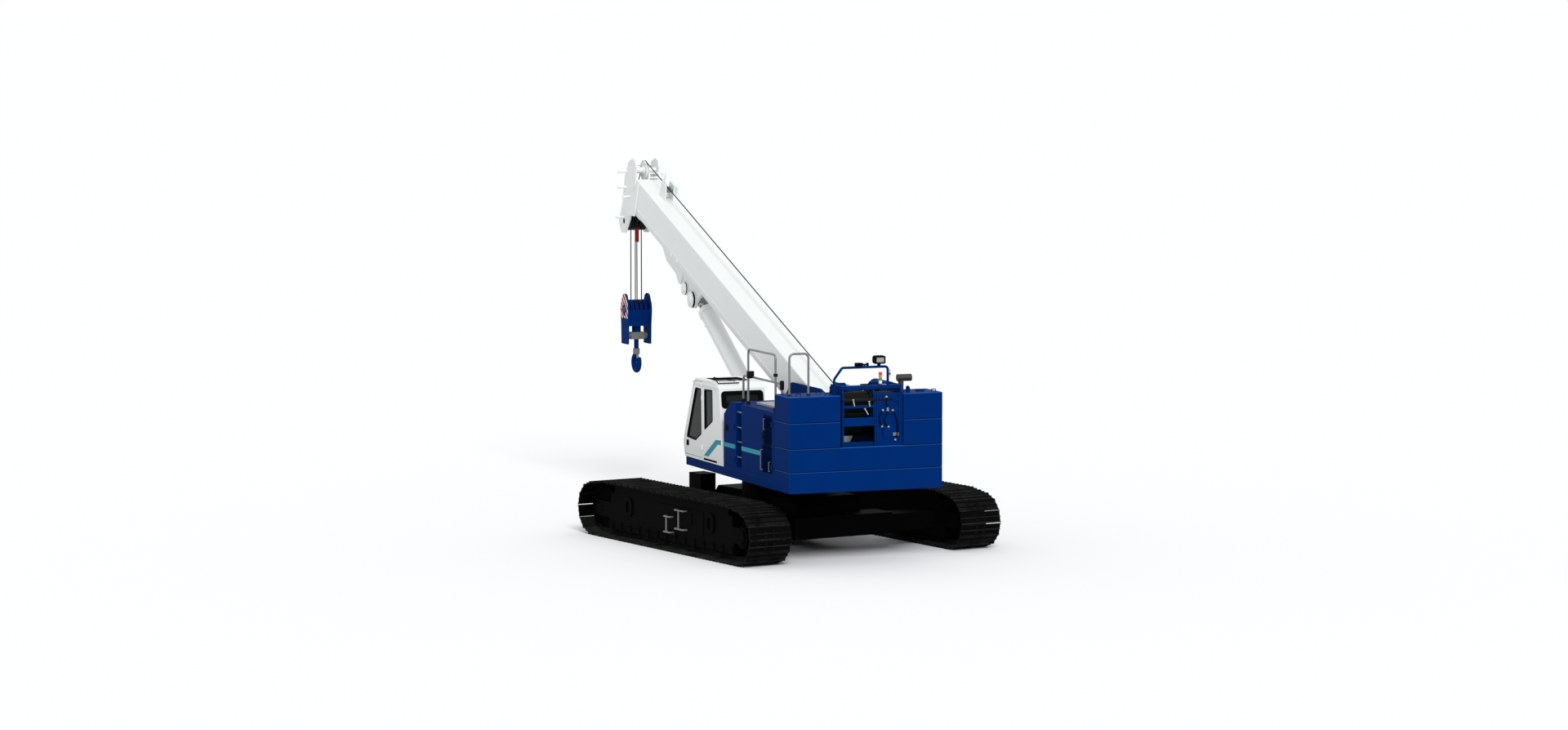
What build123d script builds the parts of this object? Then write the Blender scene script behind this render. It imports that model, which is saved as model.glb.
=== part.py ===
from build123d import *
import os
from math import atan2, cos, degrees, hypot, radians, sin

# Telescopic-boom crawler crane, in millimetres. +X runs forward along the
# boom, +Y to the cab's side and +Z up. The origin lies on the ground under
# the slewing axis. The upper structure is straight in this frame, and the
# undercarriage stands turned under it, as the machine was parked.

# Fits and running gaps
SEAT = 0.3              # between faces of two bodies that slide or roll on each other
PIN_FIT = 0.1           # radial, a pin in its eye
PANEL_GAP = 8.0         # round a door or a lid
SIDE_GAP = 8.0          # each side of an eye between its ears

# Tracks
SLEW_AT_REST = 10.15    # degrees from the upper structure to the undercarriage
TRACK_GAUGE = 4720.0    # between the track centres, extended
TRACK_RETRACT = 840.0   # travel of each track towards the middle
SHOE_WIDTH = 900.0
SHOE_COUNT = 56
SHOE_GAP_SHARE = 0.08   # of the pitch, open between two shoes
SHOE_DEPTH = 50.0       # from the ribs' tips down to the chain
SHOE_RIB = 25.0         # height of the three ribs across each shoe
SHOE_TAPER = 12.0       # each end of a shoe's inner face is this much shorter
CHAIN_DEPTH = 70.0
CHAIN_WIDTH = 260.0
END_RADIUS = 530.0      # over the shoes, round the sprocket and the idler
END_SPACING = 5540.0    # between the sprocket's and the idler's centres
TOP_HEIGHT = 1125.0     # over the shoes of the top run
TOP_SPACING = 4600.0    # between the bends of the top run
TOP_RADIUS = 200.0
ROLLER_COUNT = 14
ROLLER_RADIUS = 110.0
ROLLER_WIDTH = 380.0
ROLLER_END = 495.0      # from an end wheel's axle to the nearest roller's
SPROCKET_WIDTH = 200.0
HUB_RADIUS = 200.0
HUB_DEPTH = 70.0        # final drive, outside the side frame

# Side frames and the beams that carry them
FRAME_WIDTH = 500.0
FRAME_END_GAP = 60.0    # from the box frame to the end wheels
FRAME_LOW = 360.0
FRAME_TOP = 880.0
LIP_THICK = 35.0
LIP_LOW = 165.0
LIP_OVERHANG = 60.0
UPPER_LIP_GAP = 30.0    # from the upper lips to the shoes of the top run
FACE_PLATE = 12.0       # plates and pads on the side frame's outer face
STEP_BAR = 14.0         # thickness of the step irons on it
STEP_REACH = 110.0
AXLE_RADIUS = 60.0
ROLLER_AXLE_RADIUS = 35.0
FORK_RADIUS = 150.0
BEAM_SPACING = 3600.0   # between the two cross boxes' centres
BEAM_LENGTH = 500.0     # along the track
BEAM_HEIGHT = 322.0
BEAM_GAP = 5.0
BEAM_MEET = 60.0        # from the middle to a beam's inner end, drawn in

# Carbody
CROSS_HALF = 1100.0
CROSS_WALL = 40.0
CROSS_LOW = 300.0
BODY_HALF_WIDTH = 720.0
BODY_LOW = 380.0
BODY_TOP = 1000.0
TURRET_RADIUS = 860.0
RING_OUTER = 800.0
RING_INNER = 640.0
RING_LOW = 1220.0

# Deck of the upper structure
DECK_LOW = 1410.0
DECK_TOP = 1575.0
DECK_FRONT = 1430.0
DECK_REAR = -3300.0
HALF_WIDTH = 1540.0
DECK_PLATE = 20.0
DECK_BEAM = 70.0
TROUGH_FLOOR = 30.0

# Boom, in its own frame: u along it and w up from the foot pin
BOOM_Y = -120.0
FOOT_X = -2100.0
FOOT_Z = 2620.0
BOOM_ANGLE = 20.0       # degrees, as parked
BOOM_HALF = 310.0       # half the width of the base section
BOOM_TOP = 353.0        # from the foot pin up to the top plate
BELLY_CENTRE = -237.0   # height of the round belly's centre
BOOM_CORNER = 30.0
BOOM_WALL = 12.0
SECTION_STEP = 35.0     # each section is this much slimmer all round
SECTION_COUNT = 5
SECTION_TRAVEL = 9000.0
BASE_TAIL = -350.0
SECTION_OVERLAP = 1450.0    # of two sections when drawn out
TAIL_STEP = 100.0
INNER_TAIL = 450.0      # where the second section's tail lies when closed
BASE_FRONT = INNER_TAIL + SECTION_TRAVEL + SECTION_OVERLAP
FRONT_STEP = 70.0
COLLAR_LENGTH = 150.0
COLLAR_THICK = 18.0
PAD_LENGTH = 200.0
FOOT_PIN_RADIUS = 90.0
FOOT_PLATE = 40.0
FOOT_TOP = 3190.0
FOOT_GAP = 60.0         # from the boom's side to the foot plate

# Lift cylinder
LIFT_X = 550.0          # base pin on the deck
LIFT_Z = 1620.0
EYE_U = 7300.0          # pin at the boom, in the boom's frame
EYE_W = -800.0
LIFT_RADIUS = 170.0
LIFT_BORE = 130.0
ROD_RADIUS = 110.0
EYE_RADIUS = 145.0
EYE_WIDTH = 220.0
LIFT_PIN_RADIUS = 70.0
EAR_THICK = 50.0
ROD_SHOWN = 427.0       # from the barrel's mouth to the pin at the boom, at rest
ROD_INSIDE = 3150.0     # length of rod still inside at rest
GLAND_LENGTH = 120.0
SECOND_EYE = 480.0      # from the cylinder's pin at the boom forward to the next boss
FAIRING_START = 850.0   # from the cylinder's pin at the boom to the belly fairing

# Boom head, hook block and hook
HEAD_START = BASE_FRONT + (SECTION_COUNT - 1) * FRONT_STEP
HEAD_U = HEAD_START + 308
HEAD_W = -822.0
HEAD_SHEAVE_RADIUS = 200.0
BLOCK_SHEAVE_RADIUS = 205.0
SHEAVE_THICK = 60.0
SHEAVE_PITCH = 100.0
SHEAVE_COUNT = 4
HEAD_HALF = 235.0       # inner faces of the head's side plates
HEAD_PLATE = 35.0
HEAD_PIN_RADIUS = 60.0
GUIDE_U = HEAD_START + 165
GUIDE_W = 395.0
GUIDE_RADIUS = 215.0
ROPE_RADIUS = 11.0
GROOVE_GAP = 1.0        # each side of the rope in its groove
BLOCK_DROP = 1884.0     # from the head's sheave pin down to the block's
BLOCK_HALF = 230.0
BLOCK_PLATE = 42.0
CROSS_DROP = 562.0      # from the block's pin down to the cross-head
CROSS_RADIUS = 76.0
GUARD_THICK = 12.0
HOOK_DROP = 3025.0      # from the head's sheave pin to the centre of the hook's bowl
HOOK_BOWL = 110.0
HOOK_THICK = 55.0
SHANK_RADIUS = 50.0
WEIGHT_RADIUS = 45.0
WEIGHT_LENGTH = 290.0
WEIGHT_DROP = 150.0     # from the head's sheave pin to its top
JIB_PIN_RADIUS = 30.0
JIB_PIN_LENGTH = 190.0

# Counterweight
CW_REAR = -4060.0
CW_LEVELS = (1410.0, 1805.0, 2240.0, 2720.0, 3210.0)
CW_LEFT_INNER = 516.0
CW_RIGHT_INNER = -751.0
CW_CHAMFER = 14.0

# Winches
MAIN_DRUM_X = -3200.0
MAIN_DRUM_Z = 2600.0
MAIN_DRUM_RADIUS = 220.0
AUX_DRUM_X = -3700.0
AUX_DRUM_Z = 3040.0
AUX_DRUM_RADIUS = 180.0
FLANGE_RADIUS = 240.0
FLANGE_THICK = 25.0
DRUM_PIN_RADIUS = 50.0
WINCH_TOP = 3370.0
WINCH_LEFT = 460.0
WINCH_PLATE = 30.0
WINCH_REAR = CW_REAR + 60
AUX_BEARING = -200.0    # outer face of the plate on the second drum's right
MOTOR_X = -3400.0       # shaft line of the hydraulic motors on the winch frame
MOTOR_Z = 3290.0

# Machine houses
WALL = 30.0
LEFT_FRONT = -650.0
LEFT_INNER = 560.0
RIGHT_FRONT = -400.0
RIGHT_INNER = -660.0
HOUSE_TOP = 2860.0
HOUSE_SHOULDER = 2594.0
HOUSE_SLOPE = 360.0
LADDER_FRONT = -1270.0
LADDER_REAR = -1590.0
LADDER_DEPTH = 120.0
RUNG_HEIGHTS = (1830.0, 2120.0, 2400.0, 2690.0)
RUNG_RADIUS = 14.0
DOOR_SILL = 1640.0
KNUCKLE_RADIUS = 14.0
KNUCKLE_HEIGHT = 90.0
LEAF_LENGTH = 70.0
LEAF_THICK = 6.0
SLAT_PITCH = 45.0       # of the louvres in the doors
SLAT_DEPTH = 15.0
LATCH_PROUD = 14.0
ENGINE_GAP = 80.0       # from the engine to the house's walls
ENGINE_TOP = 2450.0
EXHAUST_X = -3100.0
EXHAUST_Y = -1100.0
EXHAUST_Z = 3410.0      # axis of the outlet
EXHAUST_RADIUS = 68.0
SILENCER_RADIUS = 160.0
SILENCER_RISE = 330.0   # from the house's top up to the silencer's axis

# Cab
CAB_INNER = 600.0
CAB_WALL = 50.0
CAB_PROFILE = (
    (-600, 1575), (1500, 1575), (1577, 1850), (1530, 2020),
    (1040, 3050), (900, 3160), (-300, 3160), (-380, 3050),
)
DOOR_WINDOW = ((595, 2973), (910, 2975), (1404, 1959), (894, 1934), (578, 2083))
REAR_SIDE_WINDOW = ((428, 2980), (-29, 2998), (-48, 2392), (410, 2173))
DOOR_REAR = 510.0
WINDOW_CORNER = 45.0
GLASS_THICK = 10.0
GUTTER_PROUD = 18.0
GUTTER_Z = (3052.0, 3084.0)

# Rails and lamps
RAIL_RADIUS = 21.0
RAIL_BEND = 90.0
RAIL_Y = 1400.0
RAIL_FOOT = 38.0        # radius of the socket that each post stands in
HIGH_RAIL = 1050.0      # over the left house
LOW_RAIL = 510.0
CW_RAIL = 770.0         # over the counterweight
HOOP_X = CW_REAR + 140
HOOP_RADIUS = 24.0
HOOP_TOP = 3710.0
HOOP_SHOULDER = 210.0   # from the hoop's bent-in corner up to its top
TOWER_Y = -335.0
TOWER_TOP = HOOP_TOP - 100


def block(x0, x1, y0, y1, z0, z1):
    """Box between two corners."""
    centre = Pos((x0 + x1) / 2, (y0 + y1) / 2, (z0 + z1) / 2)
    return centre * Box(abs(x1 - x0), abs(y1 - y0), abs(z1 - z0))


def outline(points, corner=0.0):
    """Flat face in the XZ plane through the given corners."""
    face = Polygon(*points, align=None)
    if corner:
        face = fillet(face.vertices(), corner)
    return face


def plate(face, y0, y1):
    """Plate of the given side outline between y0 and y1."""
    low, high = min(y0, y1), max(y0, y1)
    return extrude(Plane.XZ.offset(-high) * face, amount=high - low, dir=(0, -1, 0))


def shaft(radius, x, z, y0, y1):
    """Round bar along Y."""
    return Pos(x, (y0 + y1) / 2, z) * Rot(90, 0, 0) * Cylinder(radius, abs(y1 - y0))


def upright(radius, x, y, z0, z1):
    """Round bar along Z."""
    return Pos(x, y, (z0 + z1) / 2) * Cylinder(radius, z1 - z0)


def along(radius, x0, x1, y=0.0, z=0.0):
    """Round bar along X."""
    return Pos((x0 + x1) / 2, y, z) * Rot(0, 90, 0) * Cylinder(radius, x1 - x0)


def bent_tube(points, radius, bend):
    """Tube along straight runs joined by round bends."""
    path = FilletPolyline(*points, radius=bend)
    return sweep(Plane(origin=path @ 0, z_dir=path % 0) * Circle(radius), path=path)


def fused(pieces):
    """All pieces as one shape."""
    result = pieces[0]
    for piece in pieces[1:]:
        result = result + piece
    return result


# Undercarriage, built straight and turned at the end

def belt_outline(inset):
    """Outline of the track, this far inside the faces of its shoes."""
    circles = []
    for side in (-1, 1):
        end = Pos(side * END_SPACING / 2, END_RADIUS) * Circle(END_RADIUS - inset)
        bend = Pos(side * TOP_SPACING / 2, TOP_HEIGHT - TOP_RADIUS) * Circle(TOP_RADIUS - inset)
        circles += [end.edge(), bend.edge()]
    return make_hull(circles)


def shoe_places():
    """Chord of each shoe round the track: its two ends at the ribs' tips and the way inwards."""
    path = belt_outline(0).face().outer_wire()
    centre = Vector(0, TOP_HEIGHT / 2)
    gap = SHOE_GAP_SHARE / 2
    places = []
    for shoe in range(SHOE_COUNT):
        start = path.position_at((shoe + gap) / SHOE_COUNT)
        end = path.position_at((shoe + 1 - gap) / SHOE_COUNT)
        chord = (end - start).normalized()
        inward = Vector(-chord.Y, chord.X)
        if inward.dot(centre - start) < 0:
            inward = inward * -1
        places.append((start, end, chord, inward))
    return places


def shoe_profile(start, end, chord, inward):
    """Side outline of one shoe: a plate with three ribs on its outer face."""
    middle = (start + end) * 0.5
    half = (end - start).length / 2
    ribs = (
        (-half, 0), (-half * 0.74, SHOE_RIB), (-half * 0.13, SHOE_RIB), (0, 0),
        (half * 0.13, SHOE_RIB), (half * 0.74, SHOE_RIB), (half, 0),
        (half - SHOE_TAPER, SHOE_DEPTH), (SHOE_TAPER - half, SHOE_DEPTH),
    )
    corners = [middle + chord * run + inward * depth for run, depth in ribs]
    return Polygon(*[(corner.X, corner.Y) for corner in corners], align=None)


def chain_outline():
    """Outer outline of the chain, flat under each shoe."""
    corners = []
    for start, end, chord, inward in shoe_places():
        corners.append(start + chord * SHOE_TAPER + inward * SHOE_DEPTH)
        corners.append(end - chord * SHOE_TAPER + inward * SHOE_DEPTH)
    return Polygon(*[(corner.X, corner.Y) for corner in corners], align=None)


def track_loop():
    """Shoes and chain as one closed belt about the track's own centre plane."""
    chain_face = Plane.XZ * (chain_outline() - belt_outline(SHOE_DEPTH + CHAIN_DEPTH))
    chain = extrude(chain_face, amount=CHAIN_WIDTH / 2, both=True)
    shoes = []
    for place in shoe_places():
        shoes.append(extrude(Plane.XZ * shoe_profile(*place), amount=SHOE_WIDTH / 2, both=True))
    return chain.fuse(*shoes)


def roller_places():
    """X of each bottom roller, evenly between the end wheels."""
    first = ROLLER_END - END_SPACING / 2
    pitch = (END_SPACING - 2 * ROLLER_END) / (ROLLER_COUNT - 1)
    return [first + index * pitch for index in range(ROLLER_COUNT)]


def chain_floor():
    """Height of the chain's upper face on the ground run."""
    return SHOE_DEPTH + CHAIN_DEPTH


def track_wheels():
    """Sprocket with its hub, idler and bottom rollers."""
    wheel = END_RADIUS - chain_floor() - SEAT
    half = SPROCKET_WIDTH / 2
    edge = FRAME_WIDTH / 2
    pieces = []
    for x in (-END_SPACING / 2, END_SPACING / 2):
        tread = shaft(wheel, x, END_RADIUS, -half, half)
        axle = shaft(AXLE_RADIUS, x, END_RADIUS, -edge, edge)
        pieces.append(tread + axle)
    sprocket = -END_SPACING / 2
    hub = shaft(HUB_RADIUS, sprocket, END_RADIUS, edge, edge + HUB_DEPTH)
    hub = hub + shaft(HUB_RADIUS * 0.65, sprocket, END_RADIUS, edge, edge + HUB_DEPTH * 1.6)
    pieces[0] = pieces[0] + hub
    centre = chain_floor() + ROLLER_RADIUS
    for x in roller_places():
        roller = shaft(ROLLER_RADIUS - SEAT, x, centre, -ROLLER_WIDTH / 2, ROLLER_WIDTH / 2)
        axle = shaft(ROLLER_AXLE_RADIUS, x, centre, -edge, edge)
        pieces.append(roller + axle)
    return Compound(children=pieces)


def beam_low():
    """Underside of the sliding beams, just above the floor of their box."""
    return CROSS_LOW + CROSS_WALL + SEAT


def frame_reach():
    """Half the length of the box frame, up to just before the end wheels."""
    return END_SPACING / 2 - (END_RADIUS - chain_floor()) - FRAME_END_GAP


def step_iron(x0, x1, low, high):
    """Two flat irons bent to a U and joined by a stay, on the side frame's outer face."""
    face = FRAME_WIDTH / 2 - 5
    length, reach = x1 - x0, STEP_REACH + 5
    ring = RectangleRounded(length, 2 * reach, 40) - RectangleRounded(
        length - 2 * STEP_BAR, 2 * reach - 2 * STEP_BAR, 40 - STEP_BAR)
    bow = ring & (Pos(0, reach / 2) * Rectangle(length, reach))
    middle = (x0 + x1) / 2
    out = face + reach
    iron = block(middle - 15, middle + 15, out - STEP_BAR, out, low, high)
    for z in (low, high):
        iron = iron + Pos(middle, face, z - STEP_BAR) * extrude(bow, amount=2 * STEP_BAR, dir=(0, 0, 1))
    return iron


def frame_face():
    """Plates, oval pads, step irons and roller brackets on the side frame's outer face."""
    face = FRAME_WIDTH / 2
    middle = block(-1240, 830, face - 5, face + FACE_PLATE, FRAME_LOW + 20, FRAME_TOP - 20)
    middle = middle - block(-1030, -810, face - 1, face + FACE_PLATE, 560, 800)
    pieces = [middle]
    for x in (-1500, 1600):
        pad = Pos(x, 660) * RectangleRounded(300, 380, 120)
        hole = Pos(x, 660) * RectangleRounded(140, 220, 60)
        rim = extrude(Plane.XZ.offset(-face + 5) * (pad - hole), amount=FACE_PLATE * 3, dir=(0, 1, 0))
        pieces.append(rim)
    pieces.append(step_iron(-660, -300, 450, 810))
    pieces.append(step_iron(-150, 110, 350, 650))
    for x in roller_places():
        pieces.append(block(x - 65, x + 65, face - 5, face + 2 * FACE_PLATE, LIP_LOW, LIP_LOW + 150))
    return pieces


def track_frame():
    """Box frame inside the track, with forks, roller lips and two sliding beams."""
    half = FRAME_WIDTH / 2
    reach = frame_reach()
    frame = block(-reach, reach, -half, half, FRAME_LOW, FRAME_TOP)
    upper_edge = TOP_HEIGHT - SHOE_DEPTH - UPPER_LIP_GAP
    for side in (-1, 1):
        outer = side * half
        inner = side * (half - LIP_THICK)
        lip = block(-reach - LIP_OVERHANG, reach + LIP_OVERHANG, outer, inner, LIP_LOW, FRAME_LOW + 10)
        upper = block(-reach + 150, reach - 150, outer, inner, FRAME_TOP - 10, upper_edge)
        frame = frame + lip + upper
        for end in (-1, 1):
            centre = end * END_SPACING / 2
            fork = block(end * (reach - 200), centre, outer, inner,
                         END_RADIUS - FORK_RADIUS, END_RADIUS + FORK_RADIUS)
            frame = frame + fork + shaft(FORK_RADIUS, centre, END_RADIUS, outer, inner)
    frame = frame.fuse(*frame_face())
    for x in (-1, 0, 1):
        skid = block(x * 1500 - 120, x * 1500 + 120, -90, 90,
                     FRAME_TOP - 10, TOP_HEIGHT - chain_floor() - SEAT)
        frame = frame + skid
    for end in (-1, 1):
        frame = frame - shaft(AXLE_RADIUS, end * END_SPACING / 2, END_RADIUS, -half, half)
    for x in roller_places():
        frame = frame - shaft(ROLLER_AXLE_RADIUS, x, chain_floor() + ROLLER_RADIUS, -half, half)
    for end in (-1, 1):
        centre = end * BEAM_SPACING / 2
        inner_end = TRACK_RETRACT + BEAM_MEET - TRACK_GAUGE / 2
        beam = block(centre - BEAM_LENGTH / 2, centre + BEAM_LENGTH / 2,
                     inner_end, -half + 20, beam_low(), beam_low() + BEAM_HEIGHT)
        frame = frame + beam
    return frame


def carbody():
    """Centre body with two cross boxes that guide the sliding beams, and a turret."""
    inner = BEAM_LENGTH / 2 + BEAM_GAP
    outer = inner + CROSS_WALL
    reach = BEAM_SPACING / 2 - inner
    body = block(-reach, reach, -BODY_HALF_WIDTH, BODY_HALF_WIDTH, BODY_LOW, BODY_TOP)
    body = chamfer(body.edges().filter_by(Axis.Y).group_by(Axis.Z)[-1], 180)
    body = body + upright(TURRET_RADIUS, 0, 0, BODY_LOW, RING_LOW)
    low = CROSS_LOW + CROSS_WALL
    high = beam_low() + BEAM_HEIGHT + BEAM_GAP
    for end in (-1, 1):
        centre = end * BEAM_SPACING / 2
        body = body + block(centre - outer, centre + outer, -CROSS_HALF, CROSS_HALF,
                            CROSS_LOW, high + CROSS_WALL)
        body = body - block(centre - inner, centre + inner, -CROSS_HALF, CROSS_HALF, low, high)
    step_box = block(1500, 1950, 700, 1040, high, RING_LOW)
    return body + step_box


def slew_ring():
    """Slewing ring between the turret and the deck."""
    height = DECK_LOW - SEAT
    return upright(RING_OUTER, 0, 0, RING_LOW, height) - upright(RING_INNER, 0, 0, RING_LOW, height)


def undercarriage():
    """Every node below the slewing ring, turned under the upper structure."""
    turn = Rot(0, 0, SLEW_AT_REST)
    nodes = {"carbody": carbody(), "slew_ring": slew_ring()}
    left = Pos(0, TRACK_GAUGE / 2, 0)
    for name, shape in (("track_loop", track_loop()), ("track_wheels", track_wheels()),
                        ("track_frame", track_frame())):
        nodes[name + "_left"] = left * shape
        nodes[name + "_right"] = mirror(left * shape, about=Plane.XZ)
    return {name: turn * shape for name, shape in nodes.items()}


# Upper structure

def foot_inner(side):
    """Inner face of a foot plate: side is 1 on the left and -1 on the right."""
    return BOOM_Y + side * (BOOM_HALF + FOOT_GAP)


def lift_ear_inner(side):
    """Inner face of an ear beside one of the lift cylinder's eyes."""
    return BOOM_Y + side * (EYE_WIDTH / 2 + SIDE_GAP)


def deck_frame():
    """Deck with its skirt, the two boom-foot plates and the lift cylinder's ears."""
    deck = block(DECK_REAR, DECK_FRONT, -HALF_WIDTH, HALF_WIDTH, DECK_LOW, DECK_TOP)
    left_plate = foot_inner(1) + FOOT_PLATE
    right_plate = foot_inner(-1) - FOOT_PLATE
    x0, x1 = DECK_REAR + DECK_BEAM, DECK_FRONT - DECK_BEAM
    for y0, y1 in ((left_plate, HALF_WIDTH - DECK_BEAM), (DECK_BEAM - HALF_WIDTH, right_plate)):
        for front, rear in ((x1, RING_OUTER + DECK_BEAM), (-RING_OUTER - DECK_BEAM, x0)):
            deck = deck - block(rear, front, y0, y1, DECK_LOW, DECK_TOP - DECK_PLATE)
    deck = deck - block(x0, x1, foot_inner(-1), foot_inner(1), DECK_LOW + TROUGH_FLOOR, DECK_TOP)
    side = outline((
        (950, DECK_TOP - 10), (950, 1850), (250, 1950), (-900, FOOT_TOP - 70), (-1000, FOOT_TOP),
        (-2450, FOOT_TOP), (DECK_REAR, 2950), (DECK_REAR, DECK_TOP - 10),
    ))
    for hand in (-1, 1):
        near = foot_inner(hand)
        far = near + hand * FOOT_PLATE
        deck = deck + plate(side, near, far)
        ear_in = lift_ear_inner(hand)
        ear_out = ear_in + hand * EAR_THICK
        ear = outline(((LIFT_X - 320, DECK_LOW + 10), (LIFT_X + 320, DECK_LOW + 10),
                       (LIFT_X + 150, LIFT_Z + 80), (LIFT_X - 150, LIFT_Z + 80)))
        ear_solid = plate(ear, ear_in, ear_out)
        deck = deck + ear_solid + shaft(150, LIFT_X, LIFT_Z + 30, ear_in, ear_out)
        deck = deck - shaft(LIFT_PIN_RADIUS, LIFT_X, LIFT_Z, ear_in, ear_out)
        deck = deck - shaft(DRUM_PIN_RADIUS, MAIN_DRUM_X, MAIN_DRUM_Z, near, far)
        boss = shaft(FOOT_PIN_RADIUS + 70, FOOT_X, FOOT_Z, far, far + hand * 30)
        deck = deck + boss - shaft(FOOT_PIN_RADIUS, FOOT_X, FOOT_Z, near, far + hand * 30)
    return deck


def hinge_pins():
    """Pins through the foot plates and through the ears of the lift cylinder's base."""
    pins = []
    foot = BOOM_HALF + FOOT_GAP + FOOT_PLATE + 45
    pins.append(shaft(FOOT_PIN_RADIUS, FOOT_X, FOOT_Z, BOOM_Y - foot, BOOM_Y + foot))
    base = EYE_WIDTH / 2 + SIDE_GAP + EAR_THICK + 20
    pins.append(shaft(LIFT_PIN_RADIUS, LIFT_X, LIFT_Z, BOOM_Y - base, BOOM_Y + base))
    return Compound(children=pins)


def slab(y0, y1, z0, z1):
    """One counterweight slab with broken edges."""
    body = block(DECK_REAR, CW_REAR, y0, y1, z0, z1)
    return chamfer(body.edges(), CW_CHAMFER)


def counterweight():
    """Two full slabs below and two pairs of blocks beside the winch frame."""
    nodes = {}
    for index, name in enumerate(("lower", "upper")):
        low, high = CW_LEVELS[index], CW_LEVELS[index + 1]
        nodes["counterweight_slab_" + name] = slab(-HALF_WIDTH, HALF_WIDTH, low, high)
        low, high = CW_LEVELS[index + 2], CW_LEVELS[index + 3]
        nodes["counterweight_left_" + name] = slab(CW_LEFT_INNER, HALF_WIDTH, low, high)
        nodes["counterweight_right_" + name] = slab(-HALF_WIDTH, CW_RIGHT_INNER, low, high)
    top = CW_LEVELS[4]
    middle = (CW_RIGHT_INNER - HALF_WIDTH) / 2
    lug = outline(((DECK_REAR - 460, top - 5), (DECK_REAR - 460, top + 60), (DECK_REAR - 420, top + 100),
                   (DECK_REAR - 360, top + 100), (DECK_REAR - 320, top + 60), (DECK_REAR - 320, top - 5)))
    lug = plate(lug, middle + 140, middle + 170) - shaft(24, DECK_REAR - 390, top + 55, -HALF_WIDTH, 0)
    hatch = upright(90, DECK_REAR - 390, middle - 90, top - 5, top + 30)
    carrier = nodes["counterweight_right_upper"]
    nodes["counterweight_right_upper"] = carrier + lug + hatch
    return nodes


def house_shell(front, y0, y1, profile_top):
    """Sheet house open below, from its side outline."""
    outer = plate(outline(profile_top), y0, y1)
    inner_points = [
        (min(max(x, DECK_REAR + WALL + 3), front - WALL), z - WALL if z > DECK_TOP else z - 1)
        for x, z in profile_top
    ]
    return outer - plate(outline(inner_points), y0 + WALL, y1 - WALL)


def left_profile():
    """Side outline of the left house."""
    rear = DECK_REAR + 3
    return [(LEFT_FRONT, DECK_TOP), (LEFT_FRONT, HOUSE_SHOULDER), (LEFT_FRONT - HOUSE_SLOPE, HOUSE_TOP),
            (rear, HOUSE_TOP), (rear, DECK_TOP)]


def right_profile():
    """Side outline of the right house."""
    rear = DECK_REAR + 3
    return [(RIGHT_FRONT, DECK_TOP), (RIGHT_FRONT, HOUSE_SHOULDER), (RIGHT_FRONT - HOUSE_SLOPE, HOUSE_TOP),
            (rear, HOUSE_TOP), (rear, DECK_TOP)]


# Service doors: name, front edge, rear edge, top, side (1 left, -1 right)
SERVICE_DOORS = (
    ("service_door_front", -700.0, -1225.0, 2540.0, 1),
    ("service_door_rear", -2640.0, -3190.0, 2790.0, 1),
    ("engine_door", -1300.0, -2700.0, 2750.0, -1),
)


def door_panel(front, rear, top, side, gap):
    """Panel, or with a gap of 0 the opening for it, in a house's outer wall."""
    y0, y1 = side * (HALF_WIDTH - WALL), side * HALF_WIDTH
    return block(rear + gap, front - gap, y0, y1, DOOR_SILL + gap, top - gap)


def hinge(x, side, sill, top):
    """Two hinge knuckles with their leaves on a panel, just clear of the wall beside it."""
    face = side * HALF_WIDTH
    axis = side * (HALF_WIDTH + KNUCKLE_RADIUS + SEAT)
    half = KNUCKLE_HEIGHT / 2
    pieces = []
    for share in (0.15, 0.85):
        z = sill + share * (top - sill)
        knuckle = upright(KNUCKLE_RADIUS, x, axis, z - half, z + half)
        leaf = block(x, x + LEAF_LENGTH, face + side, face + side * (1 + LEAF_THICK), z - half, z + half)
        root = block(x + LEAF_LENGTH / 2, x + LEAF_LENGTH, face, face + side * 2, z - half, z + half)
        pieces.append(knuckle + leaf + root)
    return fused(pieces)


def louvre(x0, x1, side, z0, z1):
    """Recess with slats, as two lists: what to cut and what to add."""
    face = side * HALF_WIDTH
    back = side * (HALF_WIDTH - SLAT_DEPTH)
    recess = block(x0, x1, back, face, z0, z1)
    count = int((z1 - z0) / SLAT_PITCH)
    slats = []
    for index in range(count):
        z = z0 + (index + 0.5) * (z1 - z0) / count
        slats.append(block(x0 - 1, x1 + 1, back - side, face - side, z - 7, z + 7))
    return recess, slats


# Louvres: door, inset from the door's front and rear edges, foot, top
LOUVRES = (
    ("service_door_rear", 115.0, 60.0, 2140.0, 2720.0),
    ("service_door_rear", 115.0, 60.0, 1710.0, 2010.0),
    ("engine_door", 180.0, 180.0, 2050.0, 2600.0),
)


def service_door(name, front, rear, top, side):
    """Panel in its opening with its louvres, latch and hinge at its rear edge."""
    panel = door_panel(front, rear, top, side, PANEL_GAP)
    for door, inset_front, inset_rear, low, high in LOUVRES:
        if door == name:
            recess, slats = louvre(rear + inset_rear, front - inset_front, side, low, high)
            panel = (panel - recess).fuse(*slats)
    face = side * HALF_WIDTH
    latch = block(front - 100, front - 50, face - side * 2, face + side * LATCH_PROUD, 2320, 2395)
    return panel + latch + hinge(rear, side, DOOR_SILL, top)


def left_house():
    """Left machine house with its ladder recess and two door openings."""
    shell = house_shell(LEFT_FRONT, LEFT_INNER, HALF_WIDTH, left_profile())
    back = HALF_WIDTH - LADDER_DEPTH
    column = block(LADDER_REAR - WALL, LADDER_FRONT + WALL, back - WALL, HALF_WIDTH - 1,
                   DECK_TOP, HOUSE_TOP - 1)
    shell = shell + column
    shell = shell - block(LADDER_REAR, LADDER_FRONT, back, HALF_WIDTH, DECK_TOP + 60, HOUSE_TOP)
    for name, front, rear, top, side in SERVICE_DOORS:
        if side > 0:
            shell = shell - door_panel(front, rear, top, side, 0)
    return shell


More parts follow.
